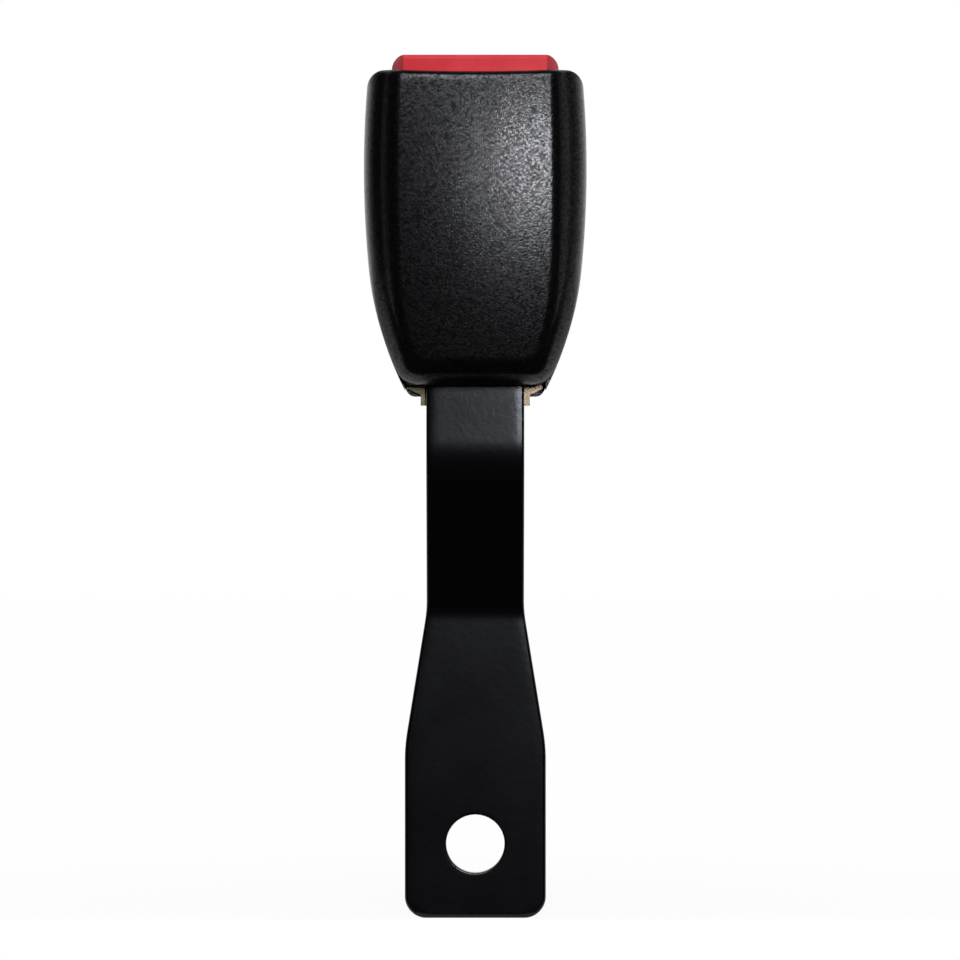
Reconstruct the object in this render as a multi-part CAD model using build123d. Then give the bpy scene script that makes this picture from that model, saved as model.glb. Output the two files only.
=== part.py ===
"""Seat belt buckle: moulded housing, push button, latch mechanism and anchor strap.

Millimetres. The origin is the centre of the anchor bolt hole, on the face of
the strap's foot that lies against the seat. +Z runs up the buckle to the
button, -Y faces out of the front cover, and X runs across the width.
"""

from build123d import *

import os
from math import cos, radians, sin

# Clearances
RUN_GAP = 0.3  # between parts that move past each other
SEAT_GAP = 0.3  # between a moulded rib and what it holds
SHAFT_GAP = 0.05  # radial, shaft in its hole

# Anchor strap
STRAP_THICK = 3.0
STRAP_WIDTH = 20.8
FOOT_WIDTH = 30.2
FOOT_BELOW_HOLE = 15.9
FOOT_CORNER_R = 4.6
HOLE_DIA = 12.5
FLARE_LOW_Z = 21.0
FLARE_HIGH_Z = 50.0
JOGGLE_DEPTH = 12.0
JOGGLE_LOW_Z = 50.0
JOGGLE_HIGH_Z = 82.0
JOGGLE_LOW_R = 9.0
JOGGLE_HIGH_R = 17.0
STRAP_TOP_Z = 111.0
STRAP_TOP_R = 3.0
STRAP_FRONT_Y = -(JOGGLE_DEPTH + STRAP_THICK)
STRAP_BACK_Y = -JOGGLE_DEPTH

# Frame channel
PLATE_THICK = 2.0
FRAME_WIDTH = 29.2
FRAME_INNER = FRAME_WIDTH / 2 - PLATE_THICK
BASE_FRONT_Y = STRAP_BACK_Y
BASE_BACK_Y = BASE_FRONT_Y + PLATE_THICK
TAIL_WIDTH = 23.2
TAIL_END_Z = 93.7
TAIL_ROOT_Z = 96.0
SHOULDER_Z = 97.4
FLANGE_LOW_Z = 101.2
FLANGE_DEPTH = 10.0
FLANGE_BEND_R = 1.6
BED_TOP_Z = 156.0
BED_WIDTH = 27.6
WINDOW_GAP = 0.8

# Tongue that the buckle takes
TONGUE_WIDTH = 22.4
TONGUE_SPACE = 4.3

# Latch
PIN_DIA = 3.0
PIVOT_Z = 112.0
KNUCKLE_WALL = 2.0
LATCH_THICK = 2.0
LATCH_OVER_BED = 3.9
LATCH_STEP = 1.4
LATCH_STEP_TOP = 11.5
LATCH_STEP_RUN = 2.8
LATCH_LENGTH = 30.0
LATCH_NECK = 25.0
LATCH_NECK_HALF = 10.0
LATCH_SIDE_GAP = 0.4
HOOK_WIDTH = 10.0
HOOK_LOW = 20.7
HOOK_HIGH = 26.5
HOOK_TIP = 1.5
HOOK_REACH = 1.0
LATCH_ANGLE = 12.5
KNUCKLE_R = PIN_DIA / 2 + KNUCKLE_WALL
LATCH_BACK_Y = BASE_FRONT_Y - LATCH_OVER_BED
PIVOT_Y = LATCH_BACK_Y - KNUCKLE_R
LATCH_HALF = FRAME_INNER - LATCH_SIDE_GAP
LAND_Y = LATCH_BACK_Y - LATCH_THICK - LATCH_STEP
LAND_BACK_Y = LAND_Y + LATCH_THICK
LATCH_TOP_Z = PIVOT_Z + LATCH_LENGTH

# Lock bar, carried in the button's legs
BAR_DIA = 4.0
BAR_GAP = 0.1
BAR_ABOVE_PIVOT = 11.0
BAR_SLOT_GAP = 0.15
BAR_Y = LAND_Y - BAR_GAP - BAR_DIA / 2
BAR_Z = PIVOT_Z + BAR_ABOVE_PIVOT

# Flange lobe that holds the bar's slot, and the bridge across it
LOBE_LOW_Z = 107.0
LOBE_HIGH_Z = 140.0
LOBE_RISE = 5.0
BRIDGE_THICK = 1.5
BRIDGE_LOW_Z = 126.5
BRIDGE_HIGH_Z = 134.5
BRIDGE_CORNER_R = 1.5
SPRING_BOSS_R = 1.6
SPRING_BOSS_HIGH = 0.9
TENON_LENGTH = 4.0
TENON_PROUD = 0.4
TENON_GAP = 0.1
LOBE_Y = BAR_Y - BAR_DIA / 2 - 3.6

# Push button
BUTTON_WIDTH = 35.0
BUTTON_TOP_Z = 166.8
BUTTON_HEIGHT = 11.8
BUTTON_DEPTH = 13.7
BUTTON_WALL = 1.8
BUTTON_CORNER_R = 2.8
BUTTON_FACE_WIDTH = 30.0
BUTTON_FACE_DEPTH = 5.2
BUTTON_EDGE_R = 0.9
BUTTON_TRAVEL = 5.5
LEG_THICK = 2.4
LEG_DEPTH = 5.8
LEG_GAP = 0.4
LEG_FOOT_R = 2.9
CAM_THICK = 3.0
CAM_X = 7.5
CAM_GAP = 0.3
CAM_TIP = 0.4
BUTTON_BACK_Y = BASE_FRONT_Y - TONGUE_SPACE - 0.2
BUTTON_FRONT_Y = BUTTON_BACK_Y - BUTTON_DEPTH
BUTTON_BASE_Z = BUTTON_TOP_Z - BUTTON_HEIGHT
LEG_IN_X = FRAME_WIDTH / 2 + LEG_GAP
BUMPER_THICK = 1.4
BUMPER_DEPTH = 4.2
BUMPER_SKIRT = 2.6
BUMPER_LIP = 0.8
FLANGE_TOP_Z = BUTTON_BASE_Z - BUTTON_TRAVEL - BUMPER_THICK - RUN_GAP
FLANGE_FRONT_Y = BASE_FRONT_Y - FLANGE_DEPTH
FLANGE_MID_X = (FRAME_WIDTH - PLATE_THICK) / 2

# Ejector
EJECTOR_TOP_Z = 134.0
EJECTOR_LENGTH = 13.0
EJECTOR_WEB = 2.5
EJECTOR_TRAVEL = 9.0
EJECTOR_THICK = 3.2
EJECTOR_GAP = 0.2
FORK_GAP = 0.6
KEY_WIDTH = 2.0
KEY_X = 8.3
KEY_LENGTH = 3.0
KEY_DROP = 4.0
EJECTOR_BASE_Z = EJECTOR_TOP_Z - EJECTOR_LENGTH

# Springs
WIRE_SIDES = 6
EJECTOR_SPRING_R = 1.25
EJECTOR_WIRE = 0.45
EJECTOR_TURNS = 5
SPRING_TAB_THICK = 2.0
SPRING_TAB_WIDTH = 3.2
SPRING_TAB_Z = STRAP_TOP_Z + 1.0
BUTTON_SPRING_R = 1.55
BUTTON_WIRE = 0.5
BUTTON_TURNS = 6
BUTTON_SPRING_Z = 139.5
BUTTON_SPRING_X = 12.4
BUTTON_SPRING_PEG_R = 1.1
LATCH_SPRING_R = 2.3
LATCH_WIRE = 0.5
LATCH_TURNS = 3
BUTTON_SPRING_Y = BUTTON_FRONT_Y + BUTTON_WALL + BUTTON_SPRING_R + BUTTON_WIRE / 2 + 0.1
SPRING_SHELF_THICK = 1.5
SPRING_PEG_ROOT = 0.4

# Rivets and pin ends
RIVET_DIA = 5.0
RIVET_HEAD_DIA = 8.0
RIVET_HEAD_HIGH = 1.7
RIVET_X = 5.2
RIVET_Z = 103.0
RIVET_SINK = 0.9
PIN_HEAD_DIA = 4.4
PIN_HEAD_THICK = 1.0
PIN_TAIL = 1.4
CLIP_DIA = 4.8
CLIP_THICK = 0.6
CLIP_GROOVE_DEPTH = 0.4
CLIP_SPAN = (FRAME_WIDTH / 2 + 0.1, FRAME_WIDTH / 2 + 0.1 + CLIP_THICK)

# Tongue guide
GUIDE_TOP_Z = 158.6
GUIDE_PEG_DIA = 1.6
GUIDE_LEAD = 1.2
GUIDE_PEG_Z = 152.0
GUIDE_PEG_X = (TONGUE_WIDTH + BED_WIDTH) / 4

# Housing
WALL = 2.0
HOUSING_WIDTH = 46.9
HOUSING_WIDE_Z = 144.0
RIM_MID_Z = 163.2
RIM_CORNER_Z = 163.9
RIM_HALF = 22.45
RIM_CORNER_R = 3.7
WAIST_HALF = 22.5
WAIST_Z = 123.4
HIP_STEP = 2.2
HIP_HALF = WAIST_HALF - HIP_STEP
HIP_Z = 111.0
CHIN_HALF = 15.2
CHIN_Z = 98.0
CHIN_R = 2.0
CHIN_LEDGE = 1.2
LIP_HALF = 14.1
LIP_Z = 95.4
PARTING_Y = -19.5
BACK_Y = -7.0
BACK_EDGE_R = 4.0
INNER_EDGE_R = 0.8
SIDE_FRONT_Y = -26.6
SIDE_EDGE_R = 2.2
CROWN_TOP_Y = -33.1
CROWN_MID_Y = -33.7
CROWN_LOW_Y = -30.2
CROWN_MID_Z = 142.0
CROWN_LOW_Z = 102.2
CROWN_ACROSS_R = 190.0

# Raised panel on the front
PANEL_ROOT_INSET = 2.4
PANEL_ROOT_LOW_HALF = 13.9
PANEL_NOSE_Y = -35.9
PANEL_TOP_HALF = 15.5
PANEL_MID_HALF = 16.1
PANEL_WAIST_HALF = 14.7
PANEL_HIP_HALF = 13.2
PANEL_LOW_HALF = 12.5
PANEL_LOW_Z = 105.1
PANEL_OVERRUN = 4.4
PANEL_CORNER_R = 2.4
PANEL_EDGE_R = 2.2

# Openings in the housing
BUTTON_GAP = 0.35
SLOT_HALF = 13.4
SLOT_BACK_Y = -11.4
STRAP_GAP = 0.5
BOSS_DIA = 3.4
PEG_DIA = 1.9
PEG_GAP = 0.05
UPPER_BOSS = (19.5, 152.0)
LOWER_BOSS = (17.1, 108.5)
BOSS_TOP_Y = -18.0
PEG_LENGTH = 4.0
LAP_DEPTH = 1.2
LAP_GAP = 0.1
SLOT_LEAD = 0.6
RIB_THICK = 1.4
BRIDGE_RIB_X = 5.0
BACK_RIB_X = 4.0
FENCE_CUT = 0.8


def sin_deg(angle):
    return sin(radians(angle))


def cos_deg(angle):
    return cos(radians(angle))


def face_xz(curve):
    """A flat face in the plane y = 0 from a closed outline drawn in x and z."""
    return make_face(Plane.XZ * curve)


def face_yz(curve):
    """A flat face in the plane x = 0 from a closed outline drawn in y and z."""
    return make_face(Plane.YZ * curve)


def slab_y(face, back_y, front_y):
    """The face swept in depth, from back_y forward to front_y."""
    return Pos(0, back_y, 0) * extrude(face, amount=back_y - front_y, dir=(0, -1, 0))


def slab_x(face, low_x, high_x):
    """The face swept across the width, from low_x to high_x."""
    return Pos(low_x, 0, 0) * extrude(face, amount=high_x - low_x, dir=(1, 0, 0))


def block(low, high):
    """A rectangular block between two opposite corners."""
    sizes = [top - bottom for bottom, top in zip(low, high)]
    middle = [(top + bottom) / 2 for bottom, top in zip(low, high)]
    return Pos(*middle) * Box(*sizes)


def rod_x(diameter, low_x, high_x, y, z):
    """A round rod that lies across the width."""
    rod = Rot(0, 90, 0) * Cylinder(diameter / 2, high_x - low_x)
    return Pos((low_x + high_x) / 2, y, z) * rod


def rod_y(diameter, back_y, front_y, x, z):
    """A round rod that points out of the front."""
    rod = Rot(90, 0, 0) * Cylinder(diameter / 2, back_y - front_y)
    return Pos(x, (back_y + front_y) / 2, z) * rod


def both_sides(solid):
    """The solid and its mirror image across the middle plane x = 0."""
    return solid + mirror(solid, about=Plane.YZ)


def coil_spring(radius, wire, turns, length):
    """A compression spring that stands on the origin along +Z, wound from wire."""
    rise = length - wire
    pitch = rise / turns
    path = Pos(0, 0, wire / 2) * Helix(pitch, rise, radius)
    start = path @ 0
    section = Plane(origin=start, z_dir=path % 0) * RegularPolygon(wire / 2, WIRE_SIDES)
    return sweep(section, path=path, is_frenet=True)


def anchor_strap():
    """The bent steel strap: flared foot with the bolt hole, joggle and upper tail."""
    middle = STRAP_THICK / 2
    bend_line = FilletPolyline(
        (-middle, -FOOT_BELOW_HOLE),
        (-middle, JOGGLE_LOW_Z),
        (-JOGGLE_DEPTH - middle, JOGGLE_HIGH_Z),
        (-JOGGLE_DEPTH - middle, STRAP_TOP_Z),
        radius=[JOGGLE_LOW_R, JOGGLE_HIGH_R],
    )
    ribbon = slab_x(Plane.YZ * trace(bend_line, STRAP_THICK), -FOOT_WIDTH / 2, FOOT_WIDTH / 2)
    outline = Polyline(
        (-FOOT_WIDTH / 2, -FOOT_BELOW_HOLE),
        (FOOT_WIDTH / 2, -FOOT_BELOW_HOLE),
        (FOOT_WIDTH / 2, FLARE_LOW_Z),
        (STRAP_WIDTH / 2, FLARE_HIGH_Z),
        (STRAP_WIDTH / 2, STRAP_TOP_Z),
        (-STRAP_WIDTH / 2, STRAP_TOP_Z),
        (-STRAP_WIDTH / 2, FLARE_HIGH_Z),
        (-FOOT_WIDTH / 2, FLARE_LOW_Z),
        close=True,
    )
    blank = make_face(outline)
    foot_corners = blank.vertices().group_by(Axis.Y)[0]
    blank = fillet(foot_corners, FOOT_CORNER_R)
    top_corners = blank.vertices().group_by(Axis.Y)[-1]
    blank = fillet(top_corners, STRAP_TOP_R)
    blank -= Circle(HOLE_DIA / 2)
    blank -= [Pos(side * RIVET_X, RIVET_Z) * Circle(RIVET_DIA / 2 + SHAFT_GAP) for side in (-1, 1)]
    return ribbon & slab_y(Plane.XZ * blank, STRAP_THICK, STRAP_FRONT_Y - STRAP_THICK)


def frame():
    """The plated steel channel: base plate, two flanges, windows, slots and spring tab."""
    lobe_mid_z = (BRIDGE_LOW_Z + BRIDGE_HIGH_Z) / 2
    tenon_y = LOBE_Y - BRIDGE_THICK - TENON_PROUD
    bend_line = FilletPolyline(
        (-FLANGE_MID_X, tenon_y),
        (-FLANGE_MID_X, BASE_FRONT_Y + PLATE_THICK / 2),
        (FLANGE_MID_X, BASE_FRONT_Y + PLATE_THICK / 2),
        (FLANGE_MID_X, tenon_y),
        radius=FLANGE_BEND_R,
    )
    channel = Pos(0, 0, TAIL_END_Z) * extrude(trace(bend_line, PLATE_THICK), BED_TOP_Z - TAIL_END_Z)
    side_view = Polyline(
        (BASE_BACK_Y, TAIL_END_Z),
        (BASE_BACK_Y, BED_TOP_Z),
        (BASE_FRONT_Y, BED_TOP_Z),
        (BASE_FRONT_Y, FLANGE_TOP_Z),
        (FLANGE_FRONT_Y, FLANGE_TOP_Z),
        (FLANGE_FRONT_Y, LOBE_HIGH_Z),
        (LOBE_Y, LOBE_HIGH_Z - LOBE_RISE),
        (LOBE_Y, lobe_mid_z + TENON_LENGTH / 2),
        (tenon_y, lobe_mid_z + TENON_LENGTH / 2),
        (tenon_y, lobe_mid_z - TENON_LENGTH / 2),
        (LOBE_Y, lobe_mid_z - TENON_LENGTH / 2),
        (LOBE_Y, LOBE_LOW_Z + LOBE_RISE),
        (FLANGE_FRONT_Y, LOBE_LOW_Z),
        (FLANGE_FRONT_Y, FLANGE_LOW_Z + FLANGE_DEPTH / 2),
        (BASE_FRONT_Y - FLANGE_DEPTH / 2, FLANGE_LOW_Z),
        (BASE_FRONT_Y, FLANGE_LOW_Z),
        (BASE_FRONT_Y, TAIL_END_Z),
        close=True,
    )
    front_view = Polyline(
        (TAIL_WIDTH / 2, TAIL_END_Z),
        (TAIL_WIDTH / 2, TAIL_ROOT_Z),
        (FRAME_WIDTH / 2, SHOULDER_Z),
        (FRAME_WIDTH / 2, FLANGE_TOP_Z),
        (BED_WIDTH / 2, FLANGE_TOP_Z),
        (BED_WIDTH / 2, BED_TOP_Z),
        (-BED_WIDTH / 2, BED_TOP_Z),
        (-BED_WIDTH / 2, FLANGE_TOP_Z),
        (-FRAME_WIDTH / 2, FLANGE_TOP_Z),
        (-FRAME_WIDTH / 2, SHOULDER_Z),
        (-TAIL_WIDTH / 2, TAIL_ROOT_Z),
        (-TAIL_WIDTH / 2, TAIL_END_Z),
        close=True,
    )
    body = channel & slab_x(face_yz(side_view), -FRAME_WIDTH / 2, FRAME_WIDTH / 2)
    body &= slab_y(face_xz(front_view), BASE_BACK_Y, tenon_y)
    body += spring_tab()
    body -= base_windows()
    body -= rod_x(PIN_DIA + 2 * SHAFT_GAP, -FRAME_WIDTH, FRAME_WIDTH, PIVOT_Y, PIVOT_Z)
    return body - bar_slots()


def spring_tab():
    """The tab lanced up out of the base plate that the ejector's spring stands on."""
    return block(
        (-SPRING_TAB_WIDTH / 2, BASE_FRONT_Y - EJECTOR_THICK, SPRING_TAB_Z),
        (SPRING_TAB_WIDTH / 2, BASE_FRONT_Y + PLATE_THICK / 2, SPRING_TAB_Z + SPRING_TAB_THICK),
    )


def base_windows():
    """What is punched through the base: hook window, tab window, key slots and holes."""
    half = HOOK_WIDTH / 2 + WINDOW_GAP
    hook_window = block(
        (-half, BASE_FRONT_Y, PIVOT_Z + HOOK_LOW - WINDOW_GAP),
        (half, BASE_BACK_Y, PIVOT_Z + HOOK_HIGH + WINDOW_GAP),
    )
    tab_low_z = SPRING_TAB_Z + SPRING_TAB_THICK
    tab_window = block(
        (-SPRING_TAB_WIDTH / 2, BASE_FRONT_Y, tab_low_z),
        (SPRING_TAB_WIDTH / 2, BASE_BACK_Y, tab_low_z + EJECTOR_THICK),
    )
    key_half = KEY_WIDTH / 2 + EJECTOR_GAP
    key_low_z = EJECTOR_BASE_Z + KEY_DROP
    key_slot = block(
        (KEY_X - key_half, BASE_FRONT_Y, key_low_z - EJECTOR_TRAVEL - RUN_GAP),
        (KEY_X + key_half, BASE_BACK_Y, key_low_z + KEY_LENGTH + RUN_GAP),
    )
    peg_hole = rod_y(GUIDE_PEG_DIA + 2 * SHAFT_GAP, BASE_BACK_Y, BASE_FRONT_Y, GUIDE_PEG_X, GUIDE_PEG_Z)
    sides = both_sides(key_slot + peg_hole + strap_rivet(RIVET_X, SHAFT_GAP))
    return hook_window + tab_window + sides


def bar_slots():
    """The slots in both flanges that the lock bar runs down."""
    reach = BAR_DIA / 2 + BAR_SLOT_GAP
    high = rod_x(2 * reach, -FRAME_WIDTH, FRAME_WIDTH, BAR_Y, BAR_Z)
    low = rod_x(2 * reach, -FRAME_WIDTH, FRAME_WIDTH, BAR_Y, BAR_Z - BUTTON_TRAVEL)
    between = block(
        (-FRAME_WIDTH, BAR_Y - reach, BAR_Z - BUTTON_TRAVEL),
        (FRAME_WIDTH, BAR_Y + reach, BAR_Z),
    )
    return high + low + between


def strap_rivet(x, gap=0.0):
    """One rivet through strap and base: domed head in front, sunk head behind."""
    radius = RIVET_DIA / 2
    shank = rod_y(RIVET_DIA + 2 * gap, BASE_BACK_Y, STRAP_FRONT_Y, x, RIVET_Z)
    sink = Pos(x, BASE_BACK_Y - RIVET_SINK / 2, RIVET_Z) * Rot(90, 0, 0) * Cone(
        radius + gap + RIVET_SINK, radius + gap, RIVET_SINK
    )
    head_r = RIVET_HEAD_DIA / 2
    ball_r = (head_r**2 + RIVET_HEAD_HIGH**2) / (2 * RIVET_HEAD_HIGH)
    ball = Pos(x, STRAP_FRONT_Y - RIVET_HEAD_HIGH + ball_r, RIVET_Z) * Sphere(ball_r)
    head = ball & rod_y(2 * head_r, STRAP_FRONT_Y, STRAP_FRONT_Y - RIVET_HEAD_HIGH, x, RIVET_Z)
    return shank + sink + head


def frame_bridge():
    """The cross plate riveted over the flanges' tenons, which backs the latch spring."""
    mid_z = (BRIDGE_LOW_Z + BRIDGE_HIGH_Z) / 2
    plate = Pos(0, mid_z) * RectangleRounded(
        FRAME_WIDTH, BRIDGE_HIGH_Z - BRIDGE_LOW_Z, BRIDGE_CORNER_R
    )
    slot = Rectangle(PLATE_THICK + 2 * TENON_GAP, TENON_LENGTH + 2 * TENON_GAP)
    plate -= [Pos(side * FLANGE_MID_X, mid_z) * slot for side in (-1, 1)]
    boss = rod_y(2 * SPRING_BOSS_R, LOBE_Y + SPRING_BOSS_HIGH, LOBE_Y, 0, mid_z)
    return slab_y(Plane.XZ * plate, LOBE_Y, LOBE_Y - BRIDGE_THICK) + boss


def latch_plate():
    """The sprung latch: rolled knuckle, stepped plate and the hook that holds the tongue."""
    step_top_z = PIVOT_Z + LATCH_STEP_TOP
    step_low_z = step_top_z - LATCH_STEP_RUN
    back_lift = LATCH_STEP_RUN * LATCH_THICK / (LATCH_STEP_RUN + LATCH_THICK)
    profile = Polyline(
        (LATCH_BACK_Y - LATCH_THICK, PIVOT_Z),
        (LATCH_BACK_Y - LATCH_THICK, step_low_z),
        (LAND_Y, step_top_z),
        (LAND_Y, LATCH_TOP_Z),
        (LAND_BACK_Y, LATCH_TOP_Z),
        (LAND_BACK_Y, step_top_z + back_lift),
        (LATCH_BACK_Y, step_low_z + back_lift),
        (LATCH_BACK_Y, PIVOT_Z),
        close=True,
    )
    plate = slab_x(face_yz(profile), -LATCH_HALF, LATCH_HALF)
    knuckle = rod_x(2 * KNUCKLE_R, -LATCH_HALF, LATCH_HALF, PIVOT_Y, PIVOT_Z)
    neck_z = PIVOT_Z + LATCH_NECK
    shoulder = block(
        (LATCH_NECK_HALF, LAND_Y, neck_z),
        (LATCH_HALF, LAND_BACK_Y, LATCH_TOP_Z),
    )
    body = plate + knuckle + latch_hook() - both_sides(shoulder)
    boss_z = (BRIDGE_LOW_Z + BRIDGE_HIGH_Z) / 2
    body += rod_y(2 * SPRING_BOSS_R, LAND_Y, LAND_Y - SPRING_BOSS_HIGH, 0, boss_z)
    return body - rod_x(PIN_DIA + 2 * SHAFT_GAP, -LATCH_HALF, LATCH_HALF, PIVOT_Y, PIVOT_Z)


def latch_hook():
    """The hook: square below, where it holds the tongue, and a ramp above."""
    tip_y = BASE_FRONT_Y + HOOK_REACH
    low_z = PIVOT_Z + HOOK_LOW
    profile = Polyline(
        (LAND_Y + LATCH_THICK / 2, low_z),
        (tip_y, low_z),
        (tip_y, low_z + HOOK_TIP),
        (LAND_BACK_Y, PIVOT_Z + HOOK_HIGH),
        (LAND_Y + LATCH_THICK / 2, PIVOT_Z + HOOK_HIGH),
        close=True,
    )
    return slab_x(face_yz(profile), -HOOK_WIDTH / 2, HOOK_WIDTH / 2)


def pivot_pin():
    """The latch's pivot: a headed pin with a groove for its clip."""
    half = FRAME_WIDTH / 2
    pin = rod_x(PIN_DIA, -half, half + PIN_TAIL, PIVOT_Y, PIVOT_Z)
    head = rod_x(PIN_HEAD_DIA, -half - PIN_HEAD_THICK, -half, PIVOT_Y, PIVOT_Z)
    groove = rod_x(PIN_DIA, *CLIP_SPAN, PIVOT_Y, PIVOT_Z)
    groove -= rod_x(PIN_DIA - 2 * CLIP_GROOVE_DEPTH, *CLIP_SPAN, PIVOT_Y, PIVOT_Z)
    return pin + head - groove


def pivot_pin_clip():
    """The open spring clip that snaps into the pin's groove."""
    bore = PIN_DIA - 2 * CLIP_GROOVE_DEPTH + 2 * SHAFT_GAP
    ring = rod_x(CLIP_DIA, *CLIP_SPAN, PIVOT_Y, PIVOT_Z)
    ring -= rod_x(bore, *CLIP_SPAN, PIVOT_Y, PIVOT_Z)
    mouth = block(
        (CLIP_SPAN[0], PIVOT_Y, PIVOT_Z - bore / 2),
        (CLIP_SPAN[1], PIVOT_Y + CLIP_DIA, PIVOT_Z + bore / 2),
    )
    return ring - mouth


def latch_spring():
    """The coil between bridge and latch that holds the hook in the tongue."""
    mid_z = (BRIDGE_LOW_Z + BRIDGE_HIGH_Z) / 2
    spring = coil_spring(LATCH_SPRING_R, LATCH_WIRE, LATCH_TURNS, LAND_Y - LOBE_Y)
    return Pos(0, LAND_Y, mid_z) * Rot(90, 0, 0) * spring


def lock_bar():
    """The hardened bar across the latch, with bevelled ends."""
    half = LEG_IN_X + LEG_THICK - SHAFT_GAP
    bar = rod_x(BAR_DIA, -half, half, BAR_Y, BAR_Z)
    rims = bar.edges().filter_by(GeomType.CIRCLE)
    return chamfer(rims, BAR_DIA / 10)


def ejector():
    """The moulded slide that pushes the tongue out: fork, spring pocket and keys."""
    half = FRAME_INNER - LATCH_SIDE_GAP
    fork_half = HOOK_WIDTH / 2 + FORK_GAP
    fork_z = PIVOT_Z + HOOK_LOW - 2 * FORK_GAP
    pocket_half = SPRING_TAB_WIDTH / 2 + RUN_GAP
    pocket_z = fork_z - EJECTOR_WEB
    outline = Polyline(
        (pocket_half, EJECTOR_BASE_Z),
        (half, EJECTOR_BASE_Z),
        (half, EJECTOR_TOP_Z),
        (fork_half, EJECTOR_TOP_Z),
        (fork_half, fork_z),
        (-fork_half, fork_z),
        (-fork_half, EJECTOR_TOP_Z),
        (-half, EJECTOR_TOP_Z),
        (-half, EJECTOR_BASE_Z),
        (-pocket_half, EJECTOR_BASE_Z),
        (-pocket_half, pocket_z),
        (pocket_half, pocket_z),
        close=True,
    )
    back_y = BASE_FRONT_Y - EJECTOR_GAP
    body = slab_y(face_xz(outline), back_y, back_y - EJECTOR_THICK)
    key = block(
        (KEY_X - KEY_WIDTH / 2, back_y, EJECTOR_BASE_Z + KEY_DROP),
        (KEY_X + KEY_WIDTH / 2, BASE_BACK_Y - EJECTOR_GAP, EJECTOR_BASE_Z + KEY_DROP + KEY_LENGTH),
    )
    return body + both_sides(key)


def ejector_spring():
    """The spring in the ejector's pocket, standing on the frame's tab."""
    low_z = SPRING_TAB_Z + SPRING_TAB_THICK
    high_z = PIVOT_Z + HOOK_LOW - 2 * FORK_GAP - EJECTOR_WEB
    spring = coil_spring(EJECTOR_SPRING_R, EJECTOR_WIRE, EJECTOR_TURNS, high_z - low_z)
    return Pos(0, BASE_FRONT_Y - EJECTOR_GAP - EJECTOR_THICK / 2, low_z) * spring


def button_plan(grow):
    """The button seen from above, grown outwards: its front corners slope as the cover does."""
    half = BUTTON_WIDTH / 2
    outline = Polyline(
        (-half, BUTTON_BACK_Y),
        (half, BUTTON_BACK_Y),
        (half, BUTTON_FRONT_Y + BUTTON_FACE_DEPTH),
        (BUTTON_FACE_WIDTH / 2, BUTTON_FRONT_Y),
        (-BUTTON_FACE_WIDTH / 2, BUTTON_FRONT_Y),
        (-half, BUTTON_FRONT_Y + BUTTON_FACE_DEPTH),
        close=True,
    )
    plan = make_face(outline)
    return offset(plan, grow, kind=Kind.INTERSECTION) if grow else plan


def push_button():
    """The red button: hollow cap, two legs for the lock bar, cams and landing ribs."""
    front_view = Pos(0, BUTTON_TOP_Z - BUTTON_HEIGHT / 2) * Rectangle(BUTTON_WIDTH, BUTTON_HEIGHT)
    front_view = fillet(front_view.vertices().group_by(Axis.Y)[-1], BUTTON_CORNER_R)
    cap = slab_y(Plane.XZ * front_view, BUTTON_BACK_Y, BUTTON_FRONT_Y)
    cap &= Pos(0, 0, BUTTON_BASE_Z) * extrude(button_plan(0), BUTTON_HEIGHT)
    top = cap.faces().sort_by(Axis.Z)[-1]
    cap = fillet(top.edges().filter_by(Axis.X), BUTTON_EDGE_R)
    hollow = extrude(button_plan(-BUTTON_WALL), BUTTON_HEIGHT - BUTTON_WALL)
    cap -= Pos(0, 0, BUTTON_BASE_Z) * hollow
    return cap + both_sides(button_leg() + button_cam() + landing_rib() + spring_peg())


def button_leg():
    """One leg beside the frame, rounded at the foot round the lock bar's hole."""
    outline = Pos(BAR_Y, BAR_Z) * Circle(LEG_FOOT_R)
    top_z = BUTTON_BASE_Z + BUTTON_WALL
    outline += Pos(BAR_Y, (BAR_Z + top_z) / 2) * Rectangle(LEG_DEPTH, top_z - BAR_Z)
    outline -= Pos(BAR_Y, BAR_Z) * Circle(BAR_DIA / 2 + SHAFT_GAP)
    return slab_x(Plane.YZ * outline, LEG_IN_X, LEG_IN_X + LEG_THICK)


def button_cam():
    """One cam inside the cap, whose slope lifts the latch as the button goes down."""
    arm = LAND_BACK_Y - PIVOT_Y
    lift = LATCH_LENGTH * sin_deg(LATCH_ANGLE) + arm * (1 - cos_deg(LATCH_ANGLE))
    rise = arm * sin_deg(LATCH_ANGLE) - LATCH_LENGTH * (1 - cos_deg(LATCH_ANGLE))
    slope = (BUTTON_TRAVEL + rise) / lift
    start = (LAND_BACK_Y, LATCH_TOP_Z + CAM_GAP)
    tip_y = start[0] + CAM_TIP
    end_y = start[0] - lift - CAM_TIP
    ceiling_z = BUTTON_TOP_Z - BUTTON_WALL / 2
    profile = Polyline(
        (BUTTON_BACK_Y, start[1] - CAM_TIP * slope),
        (tip_y, start[1] - CAM_TIP * slope),
        (end_y, start[1] + (lift + CAM_TIP) * slope),
        (end_y, ceiling_z),
        (BUTTON_BACK_Y - BUTTON_WALL / 2, ceiling_z),
        (BUTTON_BACK_Y - BUTTON_WALL / 2, BUTTON_BASE_Z),
        (BUTTON_BACK_Y, BUTTON_BASE_Z),
        close=True,
    )
    return slab_x(face_yz(profile), CAM_X - CAM_THICK / 2, CAM_X + CAM_THICK / 2)


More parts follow.
